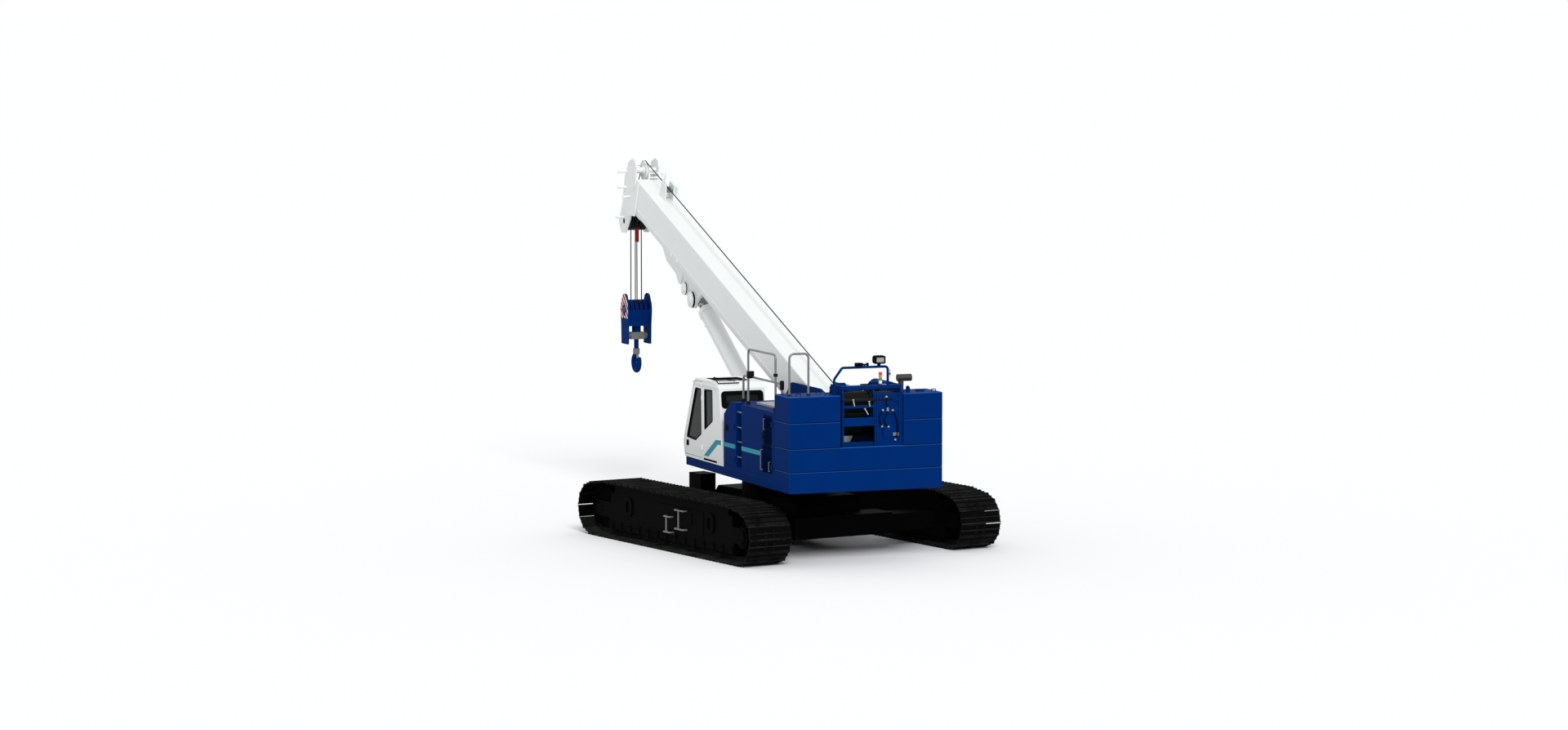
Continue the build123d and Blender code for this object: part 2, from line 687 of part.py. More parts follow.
def rungs():
    """Rungs across the ladder recess."""
    y = HALF_WIDTH - 45
    return [along(RUNG_RADIUS, LADDER_REAR, LADDER_FRONT, y, height) for height in RUNG_HEIGHTS]


def right_house():
    """Right machine house over the engine, with one door opening."""
    shell = house_shell(RIGHT_FRONT, -HALF_WIDTH, RIGHT_INNER, right_profile())
    for name, front, rear, top, side in SERVICE_DOORS:
        if side < 0:
            shell = shell - door_panel(front, rear, top, side, 0)
    return shell


def engine_block():
    """Engine as one plain mass on the deck."""
    near = WALL + ENGINE_GAP
    mass = block(DECK_REAR + 350, RIGHT_FRONT - 950, near - HALF_WIDTH, RIGHT_INNER - near,
                 DECK_TOP, ENGINE_TOP)
    return chamfer(mass.edges(), 40)


def fuel_tank():
    """Tank in front of the right house, with a filler neck."""
    tank = block(RIGHT_FRONT + 40, 1050, -HALF_WIDTH + 20, -720, DECK_TOP, 2230)
    tank = fillet(tank.edges().filter_by(Axis.Y), 60)
    steps = block(1050, 1330, -1400, -900, DECK_TOP, 1900)
    return tank + steps + upright(60, 700, -1300, 2220, 2290)


def rail_frame(x0, x1, y, base, rise):
    """Inverted U of tube along X, each post in its socket."""
    top = base + rise
    rail = bent_tube(((x0, y, base), (x0, y, top), (x1, y, top), (x1, y, base)),
                     RAIL_RADIUS, RAIL_BEND)
    for x in (x0, x1):
        rail = rail + upright(RAIL_FOOT, x, y, base, base + 60)
    return rail


def handrails():
    """Rails on the left house, the hoop on the counterweight and the ladder's rungs."""
    high = rail_frame(-1590, -3000, RAIL_Y, HOUSE_TOP, HIGH_RAIL)
    low = rail_frame(-1100, -3100, RAIL_Y - 90, HOUSE_TOP, LOW_RAIL)
    foot, top, x = CW_LEVELS[4], CW_LEVELS[4] + CW_RAIL, -3700
    posts = (RAIL_Y, RAIL_Y - 380)
    hoop = bent_tube(((x, posts[0], foot), (x, posts[0], top), (x, posts[1], top), (x, posts[1], foot)),
                     RAIL_RADIUS, RAIL_BEND)
    for y in posts:
        hoop = hoop + upright(RAIL_FOOT, x, y, foot, foot + 20)
    return Compound(children=[high, low, hoop] + rungs())


def walkway():
    """Tread plate on the left house."""
    return block(DECK_REAR + 50, LADDER_REAR - 50, LEFT_INNER + 60, RAIL_Y - 150,
                 HOUSE_TOP, HOUSE_TOP + 40)


def motors():
    """Hydraulic motors of the winches in one line across the top of the frame."""
    left, right = WINCH_LEFT, CW_RIGHT_INNER + 1
    line = shaft(40, MOTOR_X, MOTOR_Z, right, left)
    for radius, y0, y1 in ((95, 170, 360), (60, -320, -155), (95, -500, -335)):
        line = line + shaft(radius, MOTOR_X, MOTOR_Z, y0, y1)
    return line


def winch_frame():
    """Side plates and cross members behind the boom foot."""
    left, right = WINCH_LEFT, CW_RIGHT_INNER + 1
    low, rear, front = CW_LEVELS[2], WINCH_REAR, DECK_REAR - 5
    side = outline(((front, low), (rear, low), (rear, WINCH_TOP - 150), (rear + 80, WINCH_TOP),
                    (MOTOR_X - 20, WINCH_TOP), (front, WINCH_TOP - 250)))
    frame = plate(side, left - WINCH_PLATE, left) + plate(side, right, right + WINCH_PLATE)
    frame = frame + block(rear, rear + 40, right, left, 2625, 2776)
    frame = frame + block(rear + 40, rear + 120, right, left, WINCH_TOP - 60, WINCH_TOP)
    frame = frame + block(rear + 40, rear + 300, right, left, low, low + 60)
    frame = frame + shaft(30, rear + 20, 3100, right, left)
    frame = frame + block(rear, rear + 45, AUX_BEARING, left, 2960, 3005)
    bearing = outline(((rear + 480, 2640), (rear + 20, 2640), (rear + 20, WINCH_TOP - 150),
                       (rear + 80, WINCH_TOP - 10), (rear + 480, WINCH_TOP - 60)))
    bearing_left = AUX_BEARING + WINCH_PLATE
    frame = frame + plate(bearing, AUX_BEARING, bearing_left)
    frame = frame + block(rear, rear + 20, right, AUX_BEARING + 10, low, WINCH_TOP - 150)
    for z in (2420, 2900, 3080):
        frame = frame + block(rear - 25, rear + 5, right + 90, right + 200, z, z + 60)
    for y0, y1 in ((left - WINCH_PLATE, left), (AUX_BEARING, bearing_left)):
        frame = frame - shaft(DRUM_PIN_RADIUS, AUX_DRUM_X, AUX_DRUM_Z, y0, y1)
    gearbox = shaft(190, AUX_DRUM_X, AUX_DRUM_Z, right + WINCH_PLATE, AUX_BEARING)
    return frame + gearbox + motors()


def drum(radius, x, z, y0, y1, pin0, pin1):
    """Winch drum with two flanges on its pin."""
    body = shaft(radius, x, z, y0, y1)
    body = body + shaft(FLANGE_RADIUS, x, z, y0, y0 + FLANGE_THICK)
    body = body + shaft(FLANGE_RADIUS, x, z, y1 - FLANGE_THICK, y1)
    return body + shaft(DRUM_PIN_RADIUS - PIN_FIT, x, z, pin0, pin1)


def winch_drums():
    """Main drum between the foot plates and second drum in the winch frame."""
    gap = SIDE_GAP
    left, right = foot_inner(1), foot_inner(-1)
    main = drum(MAIN_DRUM_RADIUS, MAIN_DRUM_X, MAIN_DRUM_Z, right + gap, left - gap,
                right - FOOT_PLATE, left + FOOT_PLATE)
    bearing_left = AUX_BEARING + WINCH_PLATE
    aux = drum(AUX_DRUM_RADIUS, AUX_DRUM_X, AUX_DRUM_Z, bearing_left + gap,
               WINCH_LEFT - WINCH_PLATE - gap, AUX_BEARING + 5, WINCH_LEFT)
    return {"main_winch_drum": main, "aux_winch_drum": aux}


def lamp_hoop():
    """Tube hoop with a floodlight, a horn and a small lamp, and the stack of signal lamps."""
    x, left, right, top = HOOP_X, 594.0, -484.0, HOOP_TOP
    hoop = bent_tube(((x, left, CW_LEVELS[4]), (x, left, top - HOOP_SHOULDER), (x, left - 160, top),
                      (x, right, top), (x, right, WINCH_TOP)), HOOP_RADIUS, 60)
    lamp = block(x - 55, x + 60, -415, -195, top + 55, top + 210)
    lamp = chamfer(lamp.edges().filter_by(Axis.X), 30)
    visor = block(x - 85, x - 50, -405, -205, top + 65, top + 200)
    visor = visor - block(x - 85, x - 65, -385, -225, top + 85, top + 180)
    bracket = block(x - 25, x + 25, -330, -280, top, top + 60)
    small = block(x - 40, x + 40, 60, 170, top + 15, top + 85)
    horn = shaft(14, x, top + 50, -90, 55) + block(x - 10, x + 10, -30, 0, top, top + 50)
    horn = horn + shaft(32, x, top + 50, 20, 55) + shaft(32, x, top + 50, -90, -55)
    aerial = upright(5, x, right - 45, WINCH_TOP + 150, top - 60)
    clip = shaft(12, x, WINCH_TOP + 200, right - 55, right)
    tower = upright(32, x, TOWER_Y, WINCH_TOP, TOWER_TOP)
    fittings = [lamp + visor, bracket, small, horn, aerial + clip]
    return Compound(children=[fused([hoop] + fittings), tower])


def exhaust():
    """Silencer on the right house, and the pipe with its raised outlet."""
    rise = HOUSE_TOP + SILENCER_RISE
    silencer = along(SILENCER_RADIUS, EXHAUST_X - 50, EXHAUST_X + 650, -850, rise)
    feet = block(EXHAUST_X + 50, EXHAUST_X + 550, -900, -800, HOUSE_TOP, rise - 50)
    pipe = upright(52, EXHAUST_X, EXHAUST_Y, HOUSE_TOP, EXHAUST_Z)
    outlet = shaft(EXHAUST_RADIUS, EXHAUST_X, EXHAUST_Z, EXHAUST_Y + 75, EXHAUST_Y - 205)
    outlet = outlet - shaft(EXHAUST_RADIUS - 8, EXHAUST_X, EXHAUST_Z, EXHAUST_Y - 90, EXHAUST_Y - 205)
    elbow = shaft(50, EXHAUST_X, rise, EXHAUST_Y, -850)
    return silencer + feet + pipe + elbow + outlet


# Cab

def cab_face(inset):
    """Side outline of the cab, this far inside its skin."""
    face = outline(CAB_PROFILE)
    return offset(face, amount=-inset, kind=Kind.INTERSECTION) if inset else face


def door_face(gap):
    """Outline of the door, or with a gap of 0 of its opening."""
    front = cab_face(CAB_WALL + gap)
    keep = Pos(DOOR_REAR + gap + 1500, 2300) * Rectangle(3000, 3000)
    return front & keep


def window(points, grow=0.0):
    """Window outline with round corners."""
    face = outline(points, WINDOW_CORNER)
    return offset(face, amount=grow) if grow else face


def cab_openings(grow):
    """Windows of the cab's shell: name, plane, sketch."""
    middle = (CAB_INNER + HALF_WIDTH) / 2
    width = HALF_WIDTH - CAB_INNER - 190 + 2 * grow
    lean = degrees(atan2(3050 - 2020, 1530 - 1040))
    front = Plane(origin=(1285, middle, 2535), x_dir=(0, 1, 0),
                  z_dir=(sin(radians(lean)), 0, cos(radians(lean))))
    back_lean = degrees(atan2(3050 - 1575, 600 - 380))
    back = Plane(origin=(-417, middle, 2860), x_dir=(0, 1, 0),
                 z_dir=(-sin(radians(back_lean)), 0, cos(radians(back_lean))))
    roof = Plane(origin=(350, middle, 3160), x_dir=(0, 1, 0), z_dir=(0, 0, 1))
    return (
        (front, RectangleRounded(width + 20, 1000 + 2 * grow, WINDOW_CORNER)),
        (back, RectangleRounded(width, 270 + 2 * grow, 80)),
        (roof, RectangleRounded(width - 80, 720 + 2 * grow, WINDOW_CORNER)),
    )


def cab_shell():
    """White cab body, hollow, with its door opening and windows cut."""
    inner = HALF_WIDTH - CAB_WALL
    shell = plate(cab_face(0), CAB_INNER, HALF_WIDTH)
    shell = shell - plate(cab_face(CAB_WALL), CAB_INNER + CAB_WALL, inner)
    shell = shell - plate(door_face(0), inner, HALF_WIDTH)
    shell = shell - plate(window(REAR_SIDE_WINDOW), inner, HALF_WIDTH)
    shell = shell - plate(window(DOOR_WINDOW), CAB_INNER, CAB_INNER + CAB_WALL)
    for plane, sketch in cab_openings(0):
        shell = shell - extrude(plane * sketch, amount=CAB_WALL * 1.6, both=True)
    shell = shell + block(-300, DOOR_REAR - 8, HALF_WIDTH - 5, HALF_WIDTH + GUTTER_PROUD, *GUTTER_Z)
    shell = shell - block(-270, DOOR_REAR - 60, HALF_WIDTH - 20, HALF_WIDTH, DECK_TOP + 25, DECK_TOP + 65)
    bumper = block(1480, 1545, CAB_INNER + 100, HALF_WIDTH - 100, DECK_TOP + 10, DECK_TOP + 65)
    return shell + bumper


def cab_door():
    """Door in the cab's left side."""
    door = plate(door_face(PANEL_GAP), HALF_WIDTH - CAB_WALL, HALF_WIDTH)
    door = door - plate(window(DOOR_WINDOW), HALF_WIDTH - CAB_WALL, HALF_WIDTH)
    handle = block(1310, 1345, HALF_WIDTH - 1, HALF_WIDTH + 25, 1800, 1910)
    gutter = block(DOOR_REAR + 60, 905, HALF_WIDTH - 5, HALF_WIDTH + GUTTER_PROUD, *GUTTER_Z)
    return door + handle + gutter + hinge(DOOR_REAR, 1, DECK_TOP + CAB_WALL, 3000)


def pane(points, y_outer):
    """Flat side pane just inside its opening."""
    middle = y_outer - CAB_WALL / 2
    return plate(window(points, -SEAT), middle - GLASS_THICK / 2, middle + GLASS_THICK / 2)


def cab_glass():
    """Panes of the cab's body."""
    panes = [pane(REAR_SIDE_WINDOW, HALF_WIDTH), pane(DOOR_WINDOW, CAB_INNER + CAB_WALL)]
    for plane, sketch in cab_openings(-SEAT):
        sheet = extrude(plane.offset(-CAB_WALL / 2) * sketch, amount=GLASS_THICK / 2, both=True)
        panes.append(sheet)
    return Compound(children=panes)


def cab_door_glass():
    """Pane of the door."""
    return pane(DOOR_WINDOW, HALF_WIDTH)


def operator_seat():
    """Seat on its pedestal, with the consoles beside it."""
    floor = DECK_TOP + CAB_WALL
    middle = (CAB_INNER + HALF_WIDTH) / 2
    inner_half = (HALF_WIDTH - CAB_INNER) / 2 - CAB_WALL
    cushion = 250
    seat = block(0, 400, middle - 200, middle + 200, floor, floor + 375)
    seat = seat + block(-60, 480, middle - cushion, middle + cushion, floor + 375, floor + 505)
    back = outline(((-60, floor + 505), (60, floor + 505), (-60, floor + 1125), (-170, floor + 1125)))
    seat = seat + plate(back, middle - 240, middle + 240)
    for side in (-1, 1):
        near, far = middle + side * (cushion - 5), middle + side * (inner_half - 40)
        seat = seat + block(-20, 520, near, far, floor + 455, floor + 625)
    return seat


# Boom, in its own frame and then raised to its angle

def at_boom():
    """Place of the boom's own frame."""
    return Pos(FOOT_X, BOOM_Y, FOOT_Z) * Rot(0, -BOOM_ANGLE, 0)


def boom_face(half):
    """Section across the boom: flat top and sides over a round belly."""
    top = BOOM_TOP - (BOOM_HALF - half)
    upper = Pos(0, (top + BELLY_CENTRE) / 2) * Rectangle(2 * half, top - BELLY_CENTRE)
    upper = fillet(upper.vertices().group_by(Axis.Y)[-1], BOOM_CORNER)
    return upper + Pos(0, BELLY_CENTRE) * Circle(half)


def boom_prism(face, u0, u1):
    """Solid of a section across the boom, from u0 to u1."""
    return extrude(Plane.YZ.offset(u0) * face, amount=u1 - u0, dir=(1, 0, 0))


def half_width(index):
    """Half width of a section: 0 is the base."""
    return BOOM_HALF - index * SECTION_STEP


def tail_at(index):
    """Tail of a section."""
    return BASE_TAIL if index == 0 else INNER_TAIL + (index - 1) * TAIL_STEP


def front_at(index):
    """Front of a section."""
    return BASE_FRONT + index * FRONT_STEP


def boom_tube(index):
    """Plain tube of a section with the collar round its front."""
    half = half_width(index)
    front = front_at(index)
    collar = COLLAR_LENGTH if index == 0 else FRONT_STEP - 15
    outer = boom_prism(boom_face(half), tail_at(index), front)
    ring = boom_prism(boom_face(half + COLLAR_THICK), front - collar, front)
    return outer + ring


def boom_bore(index):
    """What is hollow inside a section."""
    return boom_prism(boom_face(half_width(index) - BOOM_WALL), tail_at(index) - 1, front_at(index) + 1)


def mouth_pads(index):
    """Pads in a section's mouth that carry the belly of the next one."""
    ring = boom_face(half_width(index) - BOOM_WALL) - boom_face(half_width(index + 1) + SEAT)
    low = BELLY_CENTRE - half_width(index) * 0.6
    belly = ring & (Pos(0, low - 500) * Rectangle(2000, 1000))
    front = front_at(index)
    return boom_prism(belly, front - PAD_LENGTH - 50, front - 50)


def tail_pads(index):
    """Pads on a section's tail that bear on the roof of the one round it."""
    ring = boom_face(half_width(index - 1) - BOOM_WALL - SEAT) - boom_face(half_width(index))
    roof = BOOM_TOP - index * SECTION_STEP - 20
    width = half_width(index)
    top = ring & (Pos(0, roof + 500) * Rectangle(width, 1000))
    return boom_prism(top, tail_at(index), tail_at(index) + PAD_LENGTH)


def ear_pair(u, w, radius, root, ring):
    """Two ears under the boom, each with a sleeve, a ring groove, a disc and a domed cap."""
    pieces = []
    for hand in (-1, 1):
        inner = hand * (EYE_WIDTH / 2 + SIDE_GAP)
        outer = inner + hand * EAR_THICK
        face = outline(((u - root, BELLY_CENTRE - 200), (u + root, BELLY_CENTRE - 200),
                        (u + radius * 0.8, w - radius * 0.3), (u - radius * 0.8, w - radius * 0.3)))
        ear = plate(face, inner, outer) + shaft(radius, u, w, inner, outer)
        sleeve = outer + hand * 16
        disc = sleeve + hand * ring
        cap = disc + hand * 16
        tip = cap + hand * 26
        ear = ear + shaft(radius * 0.88, u, w, outer, sleeve) + shaft(radius * 0.76, u, w, sleeve, disc)
        ear = ear + shaft(radius * 0.92, u, w, disc, cap)
        dome = shaft(radius * 0.62, u, w, cap, tip)
        dome = chamfer(dome.edges().group_by(Axis.Y)[-1 if hand > 0 else 0], 16)
        pieces.append(ear + dome)
    return fused(pieces)


def mouth_gusset(hand):
    """Side plate that carries the base's mouth forward and down beside the head."""
    near = hand * (BOOM_HALF + COLLAR_THICK - 2)
    front = BASE_FRONT
    face = outline(((front - 160, 300), (front - 100, 300), (front + 250, -180), (front + 370, -480),
                    (front + 200, -520), (front - 160, -400)))
    return plate(face, near, near + hand * 20)


def boom_fittings():
    """Rope guides, brackets and pads on the outside of the base section."""
    front, top = BASE_FRONT, BOOM_TOP
    pieces = []
    for y in (-240, 60):
        pieces.append(block(front - 70, front - 30, y, y + 30, top - 5, 545))
    pieces.append(shaft(16, front - 50, top + 80, -240, 90))
    pieces.append(shaft(16, front - 50, 530, -240, 90))
    bracket = outline(((front - 200, top - 5), (front - 60, top - 5), (front - 130, 600)))
    pieces.append(plate(bracket, 40 - BOOM_HALF, 60 - BOOM_HALF))
    pieces.append(block(front - 860, front - 440, -BOOM_HALF, 40 - BOOM_HALF, top - BOOM_CORNER - 5, 520))
    cheek = outline(((front - 1180, top - 5), (front - 820, top - 5),
                     (front - 860, 690), (front - 1140, 690)))
    for y in (-100, 80):
        pieces.append(plate(cheek, y, y + 20))
    for u in (front - 1080, front - 920):
        pieces.append(shaft(35, u, 555, -90, 90))
    for back in (2480, 2840):
        for hand in (-1, 1):
            side = hand * BOOM_HALF
            pieces.append(block(front - back, front - back + 60,
                                side - hand * 5, side + hand * 16, -310, -260))
    for hand in (-1, 1):
        side = hand * BOOM_HALF
        pieces.append(block(0, front - COLLAR_LENGTH, side - hand * 5, side + hand * 4,
                            BELLY_CENTRE - 8, BELLY_CENTRE + 8))
        pieces.append(mouth_gusset(hand))
    return pieces


def boom_base():
    """Base section with its foot bosses, lift ears and belly fairing."""
    outer = boom_tube(0)
    outer = outer + ear_pair(EYE_U, EYE_W, EYE_RADIUS + 35, 430, 42)
    outer = outer + ear_pair(EYE_U + SECOND_EYE, EYE_W + 40, EYE_RADIUS, 260, 24)
    start = EYE_U + FAIRING_START
    fairing = outline(((start, -500), (start + 1450, -500), (start + 1015, -740), (start + 400, -770),
                       (start + 200, -890), (start + 80, -870)))
    outer = outer + plate(fairing, -120, 120)
    for hand in (-1, 1):
        face = hand * (BOOM_HALF - 5)
        outer = outer + shaft(FOOT_PIN_RADIUS + 90, 0, 0, face, hand * (BOOM_HALF + FOOT_GAP - SIDE_GAP))
    outer = outer.fuse(*boom_fittings())
    base = outer - boom_bore(0)
    sleeve_inner = FOOT_PIN_RADIUS + PIN_FIT
    base = base - shaft(sleeve_inner, 0, 0, -BOOM_HALF - FOOT_GAP, BOOM_HALF + FOOT_GAP)
    return base + mouth_pads(0)


def boom_inner(index):
    """One of the sliding sections between the base and the head."""
    tube = boom_tube(index) - boom_bore(index)
    return tube + mouth_pads(index) + tail_pads(index)


def head_places(rows):
    """Places on the head: u from the head tube's front, w."""
    return tuple((HEAD_START + u, w) for u, w in rows)


# Pins on both of the head's cheeks that carry a jib, bars that keep the rope in, and a cheek's outline
JIB_PINS = head_places(((510, 230), (420, -90), (60, -165), (290, -720)))
ROPE_KEEPERS = head_places(((440, 400), (540, -900)))
HEAD_OUTLINE = head_places((
    (-200, 150), (-100, 420), (70, 640), (240, 640), (460, 480), (580, 100),
    (540, -500), (620, -960), (380, -1120), (150, -1030), (0, -640), (-30, -420),
))


def head_section():
    """Innermost section with the head's side plates and cross members."""
    last = SECTION_COUNT - 1
    tube = boom_tube(last) - boom_bore(last) + tail_pads(last)
    start = front_at(last) - 5
    outer = HEAD_HALF + HEAD_PLATE
    for hand in (-1, 1):
        near, far = hand * HEAD_HALF, hand * outer
        cheek = plate(outline(HEAD_OUTLINE), near, far)
        cheek = cheek & block(start, start + 1000, -outer, outer, -BASE_FRONT, BASE_FRONT)
        cheek = cheek - shaft(HEAD_PIN_RADIUS, HEAD_U, HEAD_W, near, far)
        cheek = cheek - shaft(HEAD_PIN_RADIUS, GUIDE_U, GUIDE_W, near, far)
        for u, w in JIB_PINS:
            cheek = cheek + shaft(JIB_PIN_RADIUS, u, w, far, far + hand * JIB_PIN_LENGTH)
        tube = tube + cheek
    bridge = HEAD_HALF + 5
    bulkhead = boom_prism(Pos(0, -95) * Rectangle(2 * bridge, 490), start, start + 40)
    bulkhead = bulkhead + block(HEAD_START + 460, HEAD_START + 510, -bridge, bridge, -520, -120)
    for u, w in ROPE_KEEPERS:
        bulkhead = bulkhead + shaft(18, u, w, -bridge, bridge)
    return tube + bulkhead


def head_sheaves():
    """Head sheaves on their pin."""
    return sheave_stack(HEAD_U, HEAD_W, HEAD_SHEAVE_RADIUS, SHEAVE_COUNT, HEAD_HALF + HEAD_PLATE)


def sheave_stack(x, z, radius, count, reach):
    """Grooved sheaves side by side on one pin."""
    groove = radius - 2 * ROPE_RADIUS
    half = ROPE_RADIUS + GROOVE_GAP
    stack = shaft(HEAD_PIN_RADIUS - PIN_FIT, x, z, -reach, reach)
    first = -SHEAVE_PITCH * (count - 1) / 2
    for index in range(count):
        y = first + index * SHEAVE_PITCH
        stack = stack + shaft(groove, x, z, y - half, y + half)
        for hand in (-1, 1):
            stack = stack + shaft(radius, x, z, y + hand * half, y + hand * SHEAVE_THICK / 2)
    return stack + shaft(HEAD_PIN_RADIUS + 30, x, z, first - 60, -first + 60)


def guide_sheave():
    """Sheave on top of the head that turns the hoist rope down."""
    return sheave_stack(GUIDE_U, GUIDE_W, GUIDE_RADIUS, 1, HEAD_HALF + HEAD_PLATE)


# Lift cylinder, in a frame along it from its base pin

def boom_point(u, w):
    """Row-frame X and Z of a point given in the boom's frame."""
    tilt = radians(BOOM_ANGLE)
    return FOOT_X + u * cos(tilt) - w * sin(tilt), FOOT_Z + u * sin(tilt) + w * cos(tilt)


def lift_length():
    """Distance between the lift cylinder's pins at rest."""
    x, z = boom_point(EYE_U, EYE_W)
    return hypot(x - LIFT_X, z - LIFT_Z)


def at_lift():
    """Place of the lift cylinder's own frame."""
    x, z = boom_point(EYE_U, EYE_W)
    angle = degrees(atan2(z - LIFT_Z, x - LIFT_X))
    return Pos(LIFT_X, BOOM_Y, LIFT_Z) * Rot(0, -angle, 0)


def barrel_end():
    """Distance from the base pin to the barrel's mouth."""
    return lift_length() - ROD_SHOWN


def lift_barrel():
    """Barrel with its base eye, its gland and the hose pipe along it."""
    end = barrel_end()
    barrel = along(LIFT_RADIUS, 200, end)
    barrel = barrel + along(LIFT_RADIUS + 18, end - GLAND_LENGTH, end)
    neck = block(0, 260, -EYE_WIDTH / 2, EYE_WIDTH / 2, -EYE_RADIUS, EYE_RADIUS)
    barrel = barrel + neck + shaft(EYE_RADIUS, 0, 0, -EYE_WIDTH / 2, EYE_WIDTH / 2)
    pipe_y = LIFT_RADIUS + 22
    barrel = barrel + along(12, 500, end - GLAND_LENGTH + 10, pipe_y, 0)
    for x in (520, 2200, end - GLAND_LENGTH - 400):
        barrel = barrel + block(x, x + 60, LIFT_RADIUS - 12, pipe_y + 16, -20, 20)
    barrel = barrel - along(LIFT_BORE, 320, end - GLAND_LENGTH)
    barrel = barrel - along(ROD_RADIUS + SEAT, 320, end)
    return barrel - shaft(LIFT_PIN_RADIUS + PIN_FIT, 0, 0, -EYE_WIDTH / 2, EYE_WIDTH / 2)


def lift_rod():
    """Rod with its piston and the eye at the boom."""
    end = lift_length()
    inner = barrel_end() - ROD_INSIDE
    rod = along(ROD_RADIUS, inner, end)
    rod = rod + along(LIFT_BORE - SEAT, inner, inner + 100)
    return rod + shaft(EYE_RADIUS, end, 0, -EYE_WIDTH / 2, EYE_WIDTH / 2)


# Hook block, hanging plumb under the head

def at_head():
    """Place of the head's sheave pin, with upright axes."""
    x, z = boom_point(HEAD_U, HEAD_W)
    return Pos(x, BOOM_Y, z)


def fall_ends(side, y):
    """Both ends of a fall, lying in the grooves of the head's and the block's sheaves."""
    upper = HEAD_SHEAVE_RADIUS - ROPE_RADIUS + SEAT
    lower = BLOCK_SHEAVE_RADIUS - ROPE_RADIUS + SEAT
    lean = (lower - upper) / BLOCK_DROP
    level = (1 - lean * lean) ** 0.5
    top = Vector(side * upper * level, y, -upper * lean)
    foot = Vector(side * lower * level, y, -BLOCK_DROP - lower * lean)
    return top, foot


def rope_length(top, foot, radius):
    """Round solid between two points."""
    run = foot - top
    return extrude(Plane(origin=top, z_dir=run.normalized()) * Circle(radius), amount=run.length)


def rope_falls():
    """Four falls of hoist rope between the head and the block."""
    falls = []
    for side in (-1, 1):
        for y in (-SHEAVE_PITCH / 2, SHEAVE_PITCH / 2):
            falls.append(rope_length(*fall_ends(side, y), ROPE_RADIUS))
    return Compound(children=falls)


def overhoist_weight():
    """Weight that hangs round one fall under the head."""
    top, foot = fall_ends(-1, SHEAVE_PITCH / 2)
    run = (foot - top).normalized()
    start = top + run * WEIGHT_DROP
    end = start + run * WEIGHT_LENGTH
    return rope_length(start, end, WEIGHT_RADIUS) - rope_length(start, end, ROPE_RADIUS + SEAT)


def block_guard(hand):
    """Bent plate under the sheaves on one face of the block, as its side outline."""
    runs = ((237, -6), (158, -240), (190, -350))
    outer = [(hand * x, z - BLOCK_DROP) for x, z in runs]
    inner = [(hand * (x - GUARD_THICK), z - BLOCK_DROP) for x, z in reversed(runs)]
    return outline(outer + inner)


def hook_block():
    """Block of two pointed cheek plates, guards, spacers and the cross-head for the hook."""
    z = -BLOCK_DROP
    side = ((30, 335), (105, 300), (212, 130), (237, 40), (235, -60), (200, -330), (185, -736))
    face = outline([(x, z + rise) for x, rise in side] + [(-x, z + rise) for x, rise in reversed(side)])
    cheeks = []
    for hand in (-1, 1):
        near, far = hand * BLOCK_HALF, hand * (BLOCK_HALF + BLOCK_PLATE)
        cheek = plate(face, near, far) - shaft(HEAD_PIN_RADIUS, 0, z, near, far)
        cheeks.append(cheek)
    cross = z - CROSS_DROP
    reach = BLOCK_HALF + 5
    body = fused(cheeks) + shaft(CROSS_RADIUS, 0, cross, -reach, reach)
    body = body + block(-95, 95, -150, 150, cross - CROSS_RADIUS, cross + CROSS_RADIUS)
    for hand in (-1, 1):
        body = body + plate(block_guard(hand), -reach, reach)
    clear = CROSS_RADIUS + 20
    return body - upright(SHANK_RADIUS + PIN_FIT, 0, 0, cross - clear, cross + clear)


def block_sheaves():
    """Sheaves of the hook block."""
    return sheave_stack(0, -BLOCK_DROP, BLOCK_SHEAVE_RADIUS, SHEAVE_COUNT, BLOCK_HALF + BLOCK_PLATE)


def hook():
    """Forged hook with its shank, its nut and its latch."""
    centre = -HOOK_DROP
    seat = CROSS_RADIUS - BLOCK_DROP - CROSS_DROP + SEAT
    arc = CenterArc((0, 0, 0), HOOK_BOWL + HOOK_THICK, 75, -290)
    bowl = sweep(Plane(origin=arc @ 0, z_dir=arc % 0) * Circle(HOOK_THICK), path=arc)
    bowl = Pos(0, 0, centre) * Rot(90, 0, 0) * bowl
    shank = upright(SHANK_RADIUS, 0, 0, centre + 120, seat)
    nut = upright(SHANK_RADIUS + 45, 0, 0, seat, seat + 120)
    collar = upright(SHANK_RADIUS + 22, 0, 0, centre + 180, centre + 300)
    return bowl + shank + nut + collar


def boom_nodes():
    """Every node that rides on the boom, the lift cylinder or the hook."""
    boom, lift, head = at_boom(), at_lift(), at_head()
    nodes = {"boom_base": boom * boom_base()}
    for index in range(1, SECTION_COUNT - 1):
        nodes["boom_section_%d" % (index + 1)] = boom * boom_inner(index)
    nodes["boom_head"] = boom * head_section()
    nodes["head_sheaves"] = boom * head_sheaves()
    nodes["guide_sheave"] = boom * guide_sheave()
    nodes["lift_barrel"] = lift * lift_barrel()
    nodes["lift_rod"] = lift * lift_rod()
    nodes["rope_falls"] = head * rope_falls()
    nodes["overhoist_weight"] = head * overhoist_weight()
    nodes["hook_block"] = head * hook_block()
    nodes["block_sheaves"] = head * block_sheaves()
    nodes["hook"] = head * hook()
    return nodes


